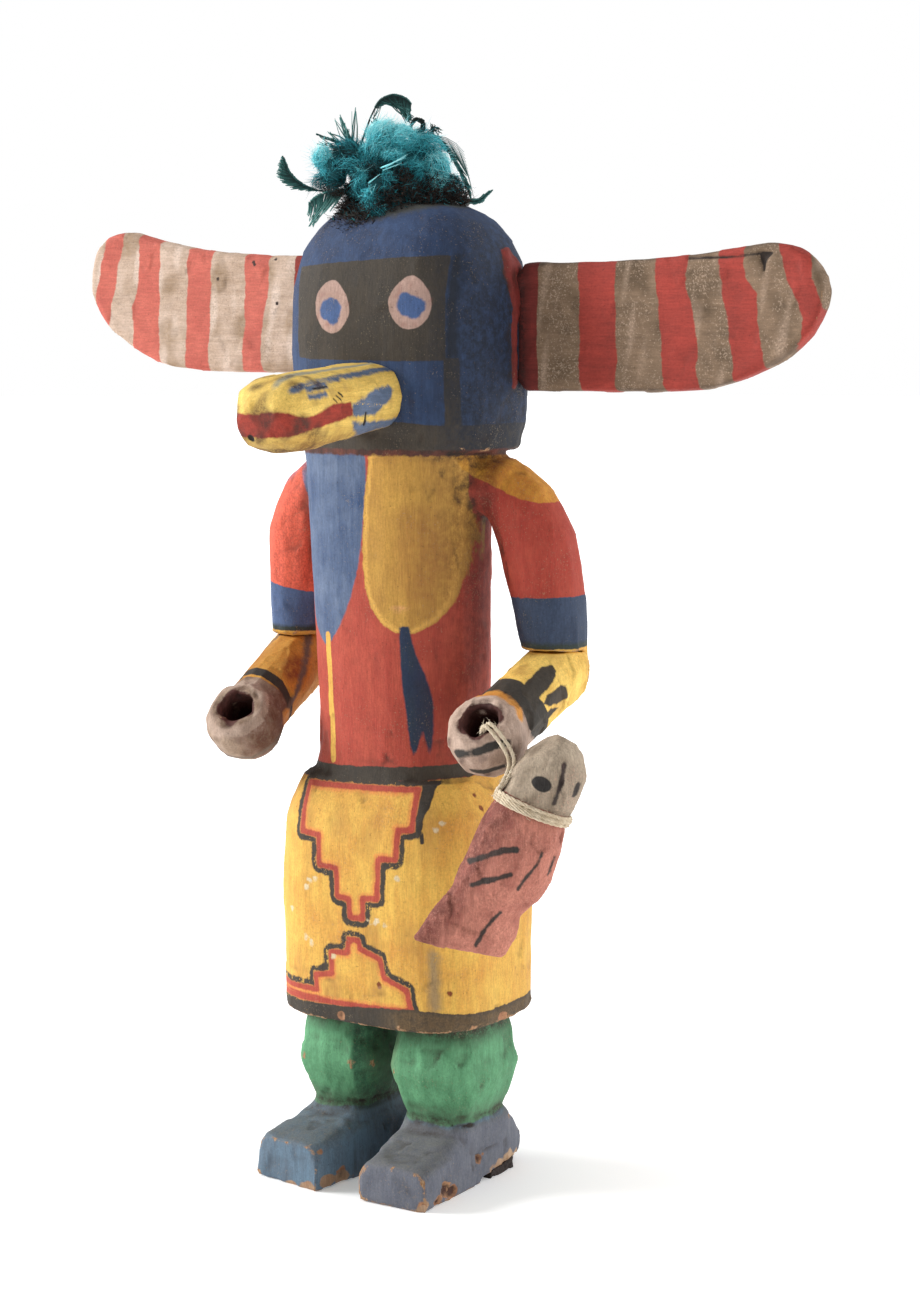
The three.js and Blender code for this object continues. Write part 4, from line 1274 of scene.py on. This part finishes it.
# %% Paint the fish
FISH_LINES = [
    ([(2.4, 15.5), (3.6, 10.7), (4.1, 4.5)], 0.65),
    ([(-10.8, -20.6), (-7.9, -17.4), (-5.2, -14.6)], 0.75),
    ([(-6.2, -15.4), (-4, -13.2), (-0.6, -11.4)], 0.95),
    ([(-7.8, -26.2), (-5, -23.4), (-1.4, -20.4), (0.6, -18.6)], 0.7),
    ([(-5.4, -23.6), (-3, -21.8)], 0.95),
    ([(6.5, -9.6), (6.6, -13.2), (5.0, -18.2), (4.4, -22.0)], 0.42),
    ([(2.7, -30.4), (1.5, -33.9), (0.7, -37), (0.4, -42.5)], 0.6),
    ([(10.6, -10.1), (10.9, -15.6)], 0.4), ([(8.5, 11.5), (8.6, 8.5)], 0.7),
]
flat = np.stack([across, rise], 1)
lines = np.max([along_line(flat, path, half) for path, half in FISH_LINES], axis=0)
field(fish, "lines", np.minimum(lines, facing + 3))
field(fish, "eye", np.minimum(oval(across, rise, (-1.3, 8.2), 2.9, 2.1), facing))
field(fish, "face", rise - 1.6)
field(fish, "dirty_face", patchy(points, 6, 66, 0.1) * (rise > 2))
# Painted shade: the fish's left flank, turned from the light, is darkened.
field(fish, "left_flank_shade", slope(0.12 * (rise + 20) - across, 3.5, 8.5) * (rise < 2))
field(fish, "stains", patchy(points, 7, 65, 0.2))
paint = Paint("fish_paint", tone(184, 120, 102), tone(156, 94, 80))
# Painted shade on the fish's left flank.
paint.soft_tint("left_flank_shade", tone(88, 40, 32), 0.85)
paint.soft_tint("stains", tone(122, 62, 54), 0.6)
paint.coat("face", tone(166, 150, 130), tone(138, 122, 104), wobble=0.5)
paint.dust(tone(206, 150, 132), 0.035, 0.3)
paint.soft_tint("dirty_face", tone(96, 80, 62), 0.6)
paint.coat("lines", tone(64, 46, 42), BLACK, wobble=0.6, soft=0.25, dry=0.3)
paint.coat("eye", tone(40, 36, 34), wobble=0.2)
paint.wear(0.9, 1.05)
# Hollows are darkened: grime, and painted shade where light doesn't reach.
paint.soft_tint("hollow", GRIME_AND_SHADE, 0.45, reach=0.4)
paint.mottle(0.72, 1.24)
paint.finish(fish, "fish", relief=0.45)
finish_piece(fish, "fish")

# %% [markdown]
# ## Paths and fibres
# The string and the feathers are made of the same thing: long thin shapes that follow a
# curve. A path is a smooth curve through a few points. A tube is swept along one path, and
# fibres are made by the thousand from one small tapered prism, bent along a curve each.

# %% Smooth paths and tubes
def smooth_path(points, count):
    """That many points on a smooth curve which passes through all the given ones."""
    points = np.array(points, float)
    points = np.vstack([2 * points[0] - points[1], points, 2 * points[-1] - points[-2]])
    at = np.linspace(0, len(points) - 3 - 1e-6, count)
    i = at.astype(int)
    t = (at - i)[:, None]
    a, b, c, d = points[i], points[i + 1], points[i + 2], points[i + 3]
    square = 2 * a - 5 * b + 4 * c - d
    cube = 3 * b - a - 3 * c + d
    return 0.5 * (2 * b + (c - a) * t + square * t ** 2 + cube * t ** 3)


def frames_along(path):
    """For each point of a path its direction and two directions across, without twist."""
    way = unit(np.gradient(path, axis=0))
    across = [unit(np.cross(way[0], (0.3, 0.5, 0.8)))]
    for step in way[1:]:
        across.append(unit(across[-1] - step * (across[-1] @ step)))
    across = np.array(across)
    return way, across, np.cross(way, across)


def tube(path, radius, sides=6):
    """Points and faces of a closed tube along a path. The radius may change along it."""
    _, across, over = frames_along(path)
    turn = np.linspace(0, 2 * math.pi, sides, endpoint=False)
    ring = np.cos(turn)[:, None, None] * across + np.sin(turn)[:, None, None] * over
    radius = np.broadcast_to(radius, len(path))
    points = (path + ring * radius[None, :, None]).transpose(1, 0, 2).reshape(-1, 3)
    faces = []
    for row in range(len(path) - 1):
        for k in range(sides):
            a, b = row * sides + k, row * sides + (k + 1) % sides
            faces.append((a, b, b + sides, a + sides))
    last = (len(path) - 1) * sides
    faces.append(tuple(range(sides))[::-1])
    faces.append(tuple(range(last, last + sides)))
    return points, faces

# %% Bent fibres
def joined(name, parts):
    """One object from many sets of points, in mm from the figure's axis, and faces."""
    points, faces = [], []
    count = 0
    for some, corners in parts:
        points.append(some)
        faces += [tuple(corner + count for corner in face) for face in corners]
        count += len(some)
    mesh = bpy.data.meshes.new(name)
    mesh.from_pydata(((np.vstack(points) + AXIS) * MM).tolist(), [], faces)
    mesh.shade_smooth()
    piece = bpy.data.objects.new(name, mesh)
    bpy.context.scene.collection.objects.link(piece)
    return piece


def prism(bends, blunt):
    """A three-sided spike one unit long, cut across so that it can bend."""
    shape = bmesh.new()
    bmesh.ops.create_cone(shape, cap_ends=True, segments=3, radius1=1, radius2=blunt, depth=1)
    bmesh.ops.translate(shape, verts=shape.verts, vec=(0, 0, 0.5))
    for k in range(1, bends):
        parts = shape.verts[:] + shape.edges[:] + shape.faces[:]
        bmesh.ops.bisect_plane(shape, geom=parts, plane_co=(0, 0, k / bends), plane_no=(0, 0, 1))
    shape.verts.index_update()
    points = np.array([v.co for v in shape.verts])
    faces = [tuple(v.index for v in face.verts) for face in shape.faces]
    shape.free()
    return points, faces


class Fibres:
    """Gathers curved fibres, and then makes one piece of them."""

    def __init__(self):
        self.rows = []

    def add(self, root, middle, tip, width, tint, flat=None, thin=1.0):
        """A fibre from root to tip that bends over middle. A flat one is thin towards its flat."""
        flat = (0.1, 0.2, 0.97) if flat is None else flat
        self.rows.append((root, middle, tip, width, tint, flat, thin))

    def make(self, name, bends=2, blunt=0.12, core=None, lighter=0.22):
        shape, faces = prism(bends, blunt)
        root, middle, tip = (np.array([row[k] for row in self.rows], float) for k in range(3))
        width, tint, thin = (np.array([row[k] for row in self.rows], float) for k in (3, 4, 6))
        flat = np.array([row[5] for row in self.rows], float)
        t = shape[:, 2][None, :, None]
        bend = 2 * middle - 0.5 * (root + tip)
        centre = (1 - t) ** 2 * root[:, None] + 2 * t * (1 - t) * bend[:, None] + t ** 2 * tip[:, None]
        way = (1 - t) * (bend - root)[:, None] + t * (tip - bend)[:, None]
        way = unit(way)
        over = unit(flat[:, None] - way * (way * flat[:, None]).sum(2, keepdims=True))
        across = np.cross(over, way)
        wide = shape[None, :, 0, None] * width[:, None, None] * across
        deep = shape[None, :, 1, None] * (width * thin)[:, None, None] * over
        points = (centre + wide + deep).reshape(-1, 3)
        firsts = range(0, len(self.rows) * len(shape), len(shape))
        corners = [tuple(c + first for c in face) for first in firsts for face in faces]
        parts = [(points, corners)]
        tints = np.repeat(tint, len(shape)) - lighter * (1 - np.tile(shape[:, 2], len(tint)))
        for some, more, level in core or ():
            parts.append((some, more))
            tints = np.append(tints, np.full(len(some), level))
        piece = joined(name, parts)
        field(piece, "tint", tints)
        print(name, len(self.rows), "fibres", sum(len(face) - 2 for face in corners), "triangles")
        return piece

# %% [markdown]
# ## The string
# Three-ply cotton, yellowed with age. Two strands come out of the fist's hole, bend over its
# rim and run down to the fish, where the string is wound round the neck four times. A bump on a
# plain tube would be enough from afar, but the twist shows in the outline, so each ply is a
# tube of its own that winds round the strand's middle line. Worn cotton sheds fibres, and these
# stand off it everywhere.

# %% Where the string runs
STRAND = [
    (-1.2, -2.4, 0.5), (-1.6, 3.4, 9.2), (0, 4.8, 12.8), (4.6, -1, 13.6), (6.2, -5.6, 14.6),
    (4.6, -9.8, 16), (2.6, -13, 15.4), (1.9, -15.6, 13.8),
]


def near_fist(across, up, outwards):
    """A place by how far it lies across, up and outwards from the left fist's middle."""
    x = across * math.cos(FISH_YAW) + outwards * math.sin(FISH_YAW)
    y = across * math.sin(FISH_YAW) - outwards * math.cos(FISH_YAW)
    return FISTS["left"] + np.array([x, y, up])

# %% Ply a strand
def plied(path, radius, turns, fuzz, chance, plies=3):
    """Plies twisted round each other along a path, and the loose fibres that they shed."""
    way, across, over = frames_along(path)
    made = []
    share = np.linspace(0, 1, len(path))
    for k in range(plies):
        angle = 2 * math.pi * (turns * share + k / plies)
        side = np.cos(angle)[:, None] * across + np.sin(angle)[:, None] * over
        made.append(tube(path + side * radius * 0.5, radius * (0.56 + 0.05 * np.sin(share * 90 + k))))
    for _ in range(fuzz):
        i = chance.integers(2, len(path) - 2)
        out_way = unit(across[i] * chance.normal() + over[i] * chance.normal())
        start = path[i] + out_way * radius * 0.7
        lean = way[i] * chance.choice((-1, 1)) * chance.uniform(0.5, 2.2)
        end = start + out_way * chance.uniform(0.3, 1.5) + lean
        hair = smooth_path([start, (start + end) / 2 + out_way * 0.35, end], 5)
        made.append(tube(hair, np.linspace(0.07, 0.025, 5), 3))
    return made

# %% Strands and winding
def string():
    chance = np.random.default_rng(71)
    made = []
    middle_line = smooth_path([near_fist(*place) for place in STRAND], 90)
    share = np.linspace(0, 1, 90)[:, None]
    outwards = near_fist(0, 0, 1) - FISTS["left"]
    across = near_fist(1, 0, 0) - FISTS["left"]
    spread = np.sin(share * math.pi) ** 0.8
    for way, turns in ((-1, 11), (1, 9)):
        offset = (across * 0.85 + outwards * 0.15 + np.array([0, 0, 0.45])) * way * (0.35 + 0.5 * spread)
        made += plied(middle_line + offset, 0.56, turns, 60, chance)
    turn = np.linspace(0.0, 4 * 2 * math.pi, 300)
    wide, deep = 11.2, 10.0
    uneven = 0.12 * np.sin(turn * 1.7) + 0.1 * np.sin(turn * 0.61 + 1)
    local = np.stack([
        (wide + uneven) * np.cos(turn), (deep + uneven) * np.sin(turn),
        np.linspace(-1.5, 1.35, 300) + 0.28 * np.sin(turn + 0.6) + uneven,
    ], 1)
    made += plied(FISH_NECK + local @ FISH_TURN.T, 0.56, 44, 150, chance)
    return joined("plied_string", made)


twine = string()
paint = Paint("old_cotton", tone(220, 208, 186), tone(180, 160, 132), grain=(1, 1, 1))
paint.mottle(0.8, 1.15)
paint.finish(twine, "twine", roughness=0.95, relief=0.1, specular=0.15)
finish_piece(twine, "string")
print("string", len(twine.data.polygons), "faces")

# %% [markdown]
# ## The wedge under the heel
# A dark scrap was pushed under the left heel so that the doll stands upright. It is lumpy and
# broken at its edges. It is remeshed as the rest and pushed in and out by two ripples, which is
# enough for a piece that lies in the shadow.

# %% Break up the wedge
wedge = blank("heel_scrap", "heel_wedge", grain=0.3, rounds=2)
points = places(wedge)
lumps = 0.25 * ripple(points, 3.2, 75) + 0.12 * ripple(points, 1.2, 76)
inward = np.minimum(lumps, 0.15)
raised = points + normals(wedge) * inward[:, None]
raised[:, 2] = np.maximum(raised[:, 2], 0.02)
put(wedge, raised)
edges_and_hollows(wedge, 4)
paint = Paint("pitch", tone(52, 40, 36), tone(30, 24, 22), grain=(1, 1, 1))
paint.wear(0.8, 1.0, wood=tone(120, 62, 48), under=tone(80, 44, 36))
paint.mottle(0.7, 1.3)
paint.finish(wedge, "wedge", roughness=0.8, relief=0.5)
finish_piece(wedge, "heel_wedge")

# %% [markdown]
# ## The tuft: down
# Soft turquoise down is tied in small bunches round a middle, and its roots sit in a ring of brown fuzz.
# Every bunch is an oval cloud of fibres that sweep over it from one side to the other, as if combed. A
# particle system could grow such fibres too, but they are made as a mesh here, so that they stay a piece
# that can be kept and measured. A small smooth core inside stops one from looking through; it is tinted
# dark teal, as painted shade deep in the tuft. The tint of each fibre also holds painted light and shade
# besides the dye: bunches differ in brightness, fibres that face up are lighter, and those deep in a bunch
# darker.

# %% A bunch of down
TUFT_TURN = math.radians(33)
TUFT_ROOT = 293.8
TUFT_WAYS = np.array([
    (math.cos(TUFT_TURN), math.sin(TUFT_TURN), 0), (math.sin(TUFT_TURN), -math.cos(TUFT_TURN), 0),
    (0, 0, 1),
])


def over_crown(places_there):
    """Places across, outwards and up from the tuft's root, as places from the figure's axis."""
    return np.asarray(places_there, float) @ TUFT_WAYS + np.array([0, 0, TUFT_ROOT])


def bunch(fibres, middle, radii, count, comb, tint, chance, length=4.6, width=0.09):
    """An oval bunch of down: middle, radii and the combed direction are in the tuft's frame."""
    middle, radii, comb = (np.array(part, float) for part in (middle, radii, comb))
    comb = unit(comb)
    for _ in range(count):
        out_way = unit(chance.normal(size=3))
        depth = chance.uniform(0.72, 1.0)
        skin = middle + out_way * radii * depth
        flow = comb + 0.62 * chance.normal(size=3)
        flow = unit(flow - out_way * (flow @ out_way) * 0.8)
        reach = length * chance.uniform(0.4, 1.4)
        root = skin - flow * reach * 0.5 - out_way * radii * 0.25
        lift = chance.uniform(-0.7, 0.9) + 2.4 * (chance.uniform() < 0.2)
        tip = skin + flow * reach * 0.5 + out_way * lift
        # Painted light and shade: fibres that face up are lighter, and those that lie deep in the bunch are
        # darker.
        level = tint + 0.2 * chance.normal() + 0.34 * out_way[2] - 0.9 * (1 - depth)
        ends = over_crown([root, skin + 0.2 * chance.normal(size=3), tip])
        fibres.add(*ends, width * chance.uniform(0.6, 1.2), level)

# %% The bunches and the quills
# Bunches in the tuft's frame: middle, radii, fibres, combed direction, brightness. The brightness is the
# dye's own spread and painted light and shade on the tuft together.
BUNCHES = [
    ((-7.8, 4, 23.0), (5.6, 6, 5.6), 860, (0.9, 0.2, 0.6), 1.0),
    ((-2.4, 5, 22.2), (5.0, 6, 5.0), 600, (0.9, 0.2, 0.1), 0.85),
    ((-11.5, 5, 18.0), (4.6, 4, 3.6), 360, (0.5, 0.2, 0.8), 0.75),
    ((-5.0, 7, 17.0), (4.0, 4, 3.0), 320, (0.9, 0.2, 0.5), 0.85),
    ((5.2, 4, 19.4), (5.8, 6, 5.0), 560, (0.9, 0.3, -0.4), 0.55),
    ((8.0, 6, 14), (4.8, 6, 5.5), 560, (0.3, 0.3, -1), 0.95),
    ((7.6, 9, 8.0), (3.2, 3.5, 4.6), 330, (-0.1, 0.2, -1), 1.0),
    ((3.8, 1, 23), (3.8, 4, 3.2), 240, (1, 0.2, 0.2), 0.25),
    ((-25.8, 3, 17.0), (3.2, 4, 3.4), 420, (-0.4, 0.2, 0.9), 1.0),
    ((-24.0, 3, 13.0), (3.0, 4, 3.6), 280, (0.5, 0.2, -0.8), 0.8),
    ((-25.2, 2, 10.0), (4.2, 5, 2.8), 300, (-0.9, 0.2, -0.4), 0.25),
    ((-17.6, 2, 18.6), (6.0, 6, 4.4), 560, (-1, 0.1, 0.6), 0.1),
    ((-18, 6, 14.4), (5.6, 5, 2.6), 330, (0.9, 0.3, 0.1), 0.35),
    ((-14.6, 8, 12.0), (3.6, 4, 3.0), 260, (0.6, 0.3, -0.6), 0.1),
    ((-9.6, 8, 13.2), (4.4, 4, 3.0), 360, (0.6, 0.3, -0.6), -0.05),
    ((1.6, 8, 13.4), (4.4, 4, 2.6), 280, (0.8, 0.3, 0.5), 0.45),
    ((3.0, 10, 9.4), (2.2, 3, 4.0), 220, (-0.2, 0.3, -1), 0.3),
    ((-14.4, 10, 8.8), (1.9, 3, 5.0), 300, (0.35, 0.1, -1), 0.55),
    ((-11.6, 13.5, 3.2), (1.8, 2.6, 4.8), 280, (0.35, 0.1, -1), 0.55),
    ((-9.0, 14.4, 0.4), (2.4, 2.2, 2.4), 160, (0.4, 0.1, -1), 0.4),
    ((-6.2, 11, 8.8), (2.8, 4, 4.2), 300, (0.2, 0.2, -1), 0.35),
    ((0.2, 11, 7.6), (3.6, 4, 3.4), 300, (0.3, 0.2, -1), -0.1),
    ((13.0, 2, 8.6), (3.6, 6, 3.6), 280, (0.8, 0.2, -0.7), 0.28),
    ((-21.0, 6, 7.6), (3.4, 4, 2.4), 240, (-0.8, 0.2, -0.3), -0.15),
    ((-3, -8, 14), (12, 7, 8.5), 700, (0.1, -0.8, 0.4), 0.5),
    ((-5, 0, 9), (14.5, 9, 7.0), 700, (0.2, 0.2, 1), -0.1),
]


# Pale stubs of quills among the down.
QUILLS = [
    ((-8.4, 12, 13.4), (-1.2, 13.4, 16.4)), ((-7.8, 12, 12.8), (-2.2, 13.4, 14.8)),
    ((-7, 12, 13.6), (-0.4, 13, 17.4)), ((0.0, 14, 1.2), (3.4, 15, 4.4)),
    ((1.0, 14, 0.6), (4.6, 15, 3.2)), ((-12, 13, 9), (-8.6, 14, 11.6)),
]


print("bunches", len(BUNCHES), "quills", len(QUILLS))

# %% The tuft and its brown fuzz
def down_tuft():
    chance = np.random.default_rng(81)
    fibres = Fibres()
    for middle, radii, count, comb, tint in BUNCHES:
        bunch(fibres, middle, radii, int(1.3 * count), comb, tint, chance)
    core = merged_copy("down_core", "down")
    inside = places(core)
    heart = over_crown([-4, 1, 9])
    inside = heart + (inside - heart) * (0.84, 0.84, 0.9)
    for root, tip in QUILLS:
        fibres.add(*over_crown([root, (np.array(root) + tip) / 2, tip]), 0.34, 1.15)
    corners = [tuple(face.vertices) for face in core.data.polygons]
    bpy.data.objects.remove(core)
    # The core's tint is a dark teal: painted shade deep inside the tuft.
    return fibres.make("down_tuft", core=[(inside, corners, -0.12)])


def brown_fuzz():
    """The ring of brown fuzz at the foot of the tuft, where the roots are glued."""
    chance = np.random.default_rng(82)
    top = places(figure)
    top = top[top[:, 2] > 276]
    shape = np.linalg.lstsq(dome_terms(top), top[:, 2], rcond=None)[0]
    fibres = Fibres()
    for _ in range(7600):
        angle = chance.uniform(0, 2 * math.pi)
        radius = chance.uniform(11.5, 19.5) + 1.5 * math.sin(3 * angle)
        tall = 3.4 + 2.0 * math.sin(3 * angle + 1) * math.sin(7 * angle) + 0.5 * (19.5 - radius)
        root = over_crown([-2.5 + radius * math.cos(angle), 1 + 0.9 * radius * math.sin(angle), 0])
        root[2] = (dome_terms(root[None]) @ shape)[0] + chance.uniform(-0.3, max(tall, 1.0))
        outward = (0.5 * math.cos(angle) * TUFT_WAYS[0] + 0.5 * math.sin(angle) * TUFT_WAYS[1])
        tip = root + chance.normal(size=3) * (1.2, 1.2, 1.1) + outward + (0, 0, 0.2)
        middle = (root + tip) / 2 + 0.5 * chance.normal(size=3)
        level = -0.82 + 0.16 * chance.normal() + 0.95 * (chance.uniform() < 0.09)
        fibres.add(root, middle, tip, chance.uniform(0.09, 0.2), level)
    return fibres.make("brown_fuzz")


def dome_terms(points):
    """The terms of a quadratic surface over x and y, one row a point."""
    x, y = points[:, 0], points[:, 1]
    return np.stack([np.ones(len(points)), x, y, x * x, y * y, x * y], 1)

# %% Dyes with painted light and shade, and the finished tuft
DOWN_TONES = (
    (0.0, tone(30, 24, 22)), (0.14, tone(62, 48, 40)), (0.3, tone(14, 34, 36)), (0.48, tone(28, 98, 106)),
    (0.66, tone(68, 184, 198)), (0.85, tone(122, 226, 234)), (1.0, tone(184, 242, 244)),
)


HACKLE_TONES = (
    (0.0, tone(26, 22, 20)), (0.3, tone(20, 26, 26)), (0.45, tone(26, 54, 52)), (0.62, tone(58, 108, 104)),
    (0.85, tone(124, 176, 170)), (1.0, tone(186, 206, 190)),
)


def tinted(name, tones):
    """A material that turns a fibre's tint, from -1 to 1.2, into a colour by a row of tones."""
    material = bpy.data.materials.new(name)
    material.use_nodes = True
    tree = material.node_tree
    surface = tree.nodes["Principled BSDF"]
    level = ramp(tree, attribute(tree, "tint"), -1.0, 1.2)
    colours = tree.nodes.new("ShaderNodeValToRGB")
    fill(tree, colours.inputs[0], level)
    stops = colours.color_ramp.elements
    while len(stops) < len(tones):
        stops.new(0.5)
    for stop, (at, colour) in zip(stops, tones):
        stop.position = at
        stop.color = colour
    fill(tree, surface.inputs["Base Color"], colours.outputs[0])
    surface.inputs["Roughness"].default_value = 0.75
    surface.inputs["Specular IOR Level"].default_value = 0.25
    return material


# The down's tints hold its dye together with painted light and shade.
DOWN = tinted("down_dye_light_and_shade", DOWN_TONES)
HACKLE = tinted("dyed_hackle", HACKLE_TONES)
tuft = down_tuft()
tuft.data.materials.append(DOWN)
finish_piece(tuft, "down")
fuzz = brown_fuzz()
fuzz.data.materials.append(DOWN)
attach(fuzz, "root")

# %% [markdown]
# ## The tuft: feathers
# Hackles have a dark shaft and narrow vanes. The barbs of a vane leave the shaft at a slant,
# and near its root they are loose and wander. Old hackles split, and so the vanes have gaps.
# Every barb is a flat fibre of its own, because a plain card would give the feather an outline
# far too clean.

# %% Feathers: shafts and barbs
FACE = np.array((0.54, -0.84, 0.1))  # the way that the flat side of every feather faces
BARB_WIDTH = 0.32
LOOSE = 0.08  # how far a barb strays from the slant of its vane, in radians


def vane(fibres, path, sides, first, slant, count, tint, split, chance):
    """Barbs along a shaft. sides are their lengths to the left and right, at places along."""
    way, _, _ = frames_along(path)
    for side, lengths in zip((-1, 1), sides):
        for share in np.linspace(first, 0.995, count):
            if chance.uniform() < split:
                continue
            i = min(int(share * (len(path) - 1)), len(path) - 1)
            across = side * unit(np.cross(way[i], FACE))
            length = np.interp(share, np.linspace(first, 1, len(lengths)), lengths)
            if length < 0.3:
                continue
            length *= chance.uniform(0.85, 1.08)
            angle = slant + LOOSE * chance.normal()
            flow = way[i] * math.cos(angle) + across * math.sin(angle)
            flow = flow + 0.36 * LOOSE * FACE * chance.normal()
            tip = path[i] + flow * length + way[i] * length * 0.18
            middle = path[i] + flow * length * 0.5
            width = BARB_WIDTH * chance.uniform(0.8, 1.2)
            fibres.add(path[i], middle, tip, width, tint + 0.1 * chance.normal(), FACE, 0.35)


def feather(name, points, vanes, tint, shaft, strands=()):
    """A feather in the tuft's frame, with its shaft, its vanes and any loose strands."""
    solid = "feather_" + name
    chance = np.random.default_rng(sum(map(ord, solid)))
    fibres = Fibres()
    path = over_crown(smooth_path(points, 60))
    vane(fibres, path, *vanes, chance)
    for ends, width, level in strands:
        fibres.add(*over_crown(ends), width, level, FACE, 0.5)
    stem = tube(path, np.linspace(shaft, shaft * 0.25, 60), 5)
    piece = fibres.make("dyed_" + solid, bends=3, blunt=0.45, core=[(*stem, tint)], lighter=0.45)
    piece.data.materials.append(HACKLE)
    finish_piece(piece, solid)


def spray(root, tips, widths, tint, seed):
    """Stiff spikes from about one root to the given tips."""
    chance = np.random.default_rng(seed)
    made = []
    for tip in tips:
        for _ in range(4):
            start = np.array(root) + chance.normal(size=3) * 0.5
            end = np.array(tip) + chance.normal(size=3) * 0.4
            middle = (start + end) / 2 + chance.normal(size=3) * 0.6
            made.append(((start, middle, end), chance.uniform(*widths), tint + 0.12 * chance.normal()))
    return made

# %% Set the feathers in the tuft
# Each has the points of its shaft, its vanes (barb lengths on the left and on the right, where
# they begin, slant, count, tint and gaps), the shaft's tint and radius, and loose strands.
feather(
    "top",
    [
        (-14.8, 1, 20), (-12.8, 1, 25.5), (-11, 1, 30), (-8.6, 1, 33.8), (-5, 1, 35.2), (-1.6, 1, 34.4),
        (0.7, 1, 32.8),
    ],
    (((0.4, 0.6, 0.8, 0.8, 0.3), (1.5, 6.5, 8.0, 6.0, 1.6)), 0.42, 1.05, 120, 0.32, 0.04), -0.15, 0.36,
    spray((-10.6, 1, 28), [(-9.5, 2, 23.5), (-7.4, 2, 24.5), (-8.4, 0, 33.9)], (0.12, 0.24), 0.35, 91),
)
feather(
    "left", [(-17, 2, 8), (-25, 2, 7.2), (-31.5, 2, 8.8), (-35.8, 2, 12.3), (-37.6, 2, 17.6)],
    (((0.6, 3.2, 4.2, 2.4, 0.3), (0.4, 0.9, 1.2, 0.9, 0.2)), 0.35, 0.75, 100, 0.36, 0.03), -0.1, 0.34,
)
feather(
    "left_low", [(-16, 4, 8), (-21, 5, 7.4), (-26, 5, 6.0), (-30, 5, 3.4)],
    (((6.0, 9.0, 9.5, 7.0, 3.0), (0.3, 0.6, 0.8, 0.8, 0.4)), 0.25, 0.95, 44, 0.66, 0.2), 0.1, 0.26,
)
feather(
    "spike", [(-14, -2, 17), (-17.5, -2, 23), (-20.5, -2, 29)],
    (((0.4, 0.8, 0.5), (0.4, 0.8, 0.5)), 0.3, 0.35, 30, 0.5, 0.1), 0.2, 0.3,
    spray((-17, 0, 19), [
        (-21.6, 0, 28.3), (-20.4, 1, 29.4), (-16.0, 0, 31.4), (-18.4, 0, 25.6), (-19.4, 1, 26.8),
    ], (0.16, 0.34), 0.45, 92),
)
feather(
    "fan", [(-15, 1, 18), (-21, 1, 21.4), (-27.6, 1, 24)],
    (((0.4, 1.0, 0.4), (0.4, 1.0, 0.4)), 0.2, 0.4, 36, 0.3, 0.1), 0.05, 0.36,
    spray((-17, 1, 19), [
        (-27.4, 1, 21.3), (-25.5, 2, 19.6), (-24.2, 1, 24.6), (-29, 0, 17), (-22, 1, 20), (-26, 1, 22.8),
    ], (0.2, 0.42), 0.3, 93),
)
feather(
    "droop", [(3, -3, 20), (8, -3, 23.5), (13, -3, 17.5), (17, -3, 10), (18.6, -3, 5)],
    (((0.5, 3.2, 3.4, 2.0, 0.4), (0.8, 3.0, 3.0, 1.6, 0.3)), 0.2, 0.22, 46, 0.55, 0.35), 0.25, 0.24,
    [(
        (
            (7.5 + 0.2 * k, -2, 24 - 0.3 * k),
            (12.6 + 0.28 * k, -2, 22.5 - 0.6 * k),
            (16.4 + 0.22 * k, -2, 19 - k),
        ),
        0.14, 0.45 - 0.04 * (k % 4),
    ) for k in range(15)],
)
feather(
    "right", [(11, 0, 6), (16, 0, 4.8), (20.5, 0, 4.6), (25, 0, 7.6)],
    (((0.6, 1.8, 2.0, 1.6, 0.3), (0.8, 1.6, 1.8, 0.8, 0.2)), 0.25, 0.45, 70, 0.5, 0.03), 0.1, 0.24,
)
feather(
    "knob",
    [(0.8, 3, 22), (0.2, 3, 25.5), (1.6, 3, 28.2), (4.0, 3, 27.8), (4.2, 3, 25.4), (2.4, 3, 24.6)],
    (((0.2, 0.5, 0.6, 0.6, 0.4), (0.4, 1.2, 1.6, 1.4, 0.6)), 0.15, 1.0, 60, -0.05, 0.25), -0.3, 0.3,
    spray((7, 3, 25.6), [(5.4, 3, 24), (8.8, 3, 23), (9.4, 3, 25), (6.6, 3, 26.8)], (0.16, 0.32), 0.15, 94),
)
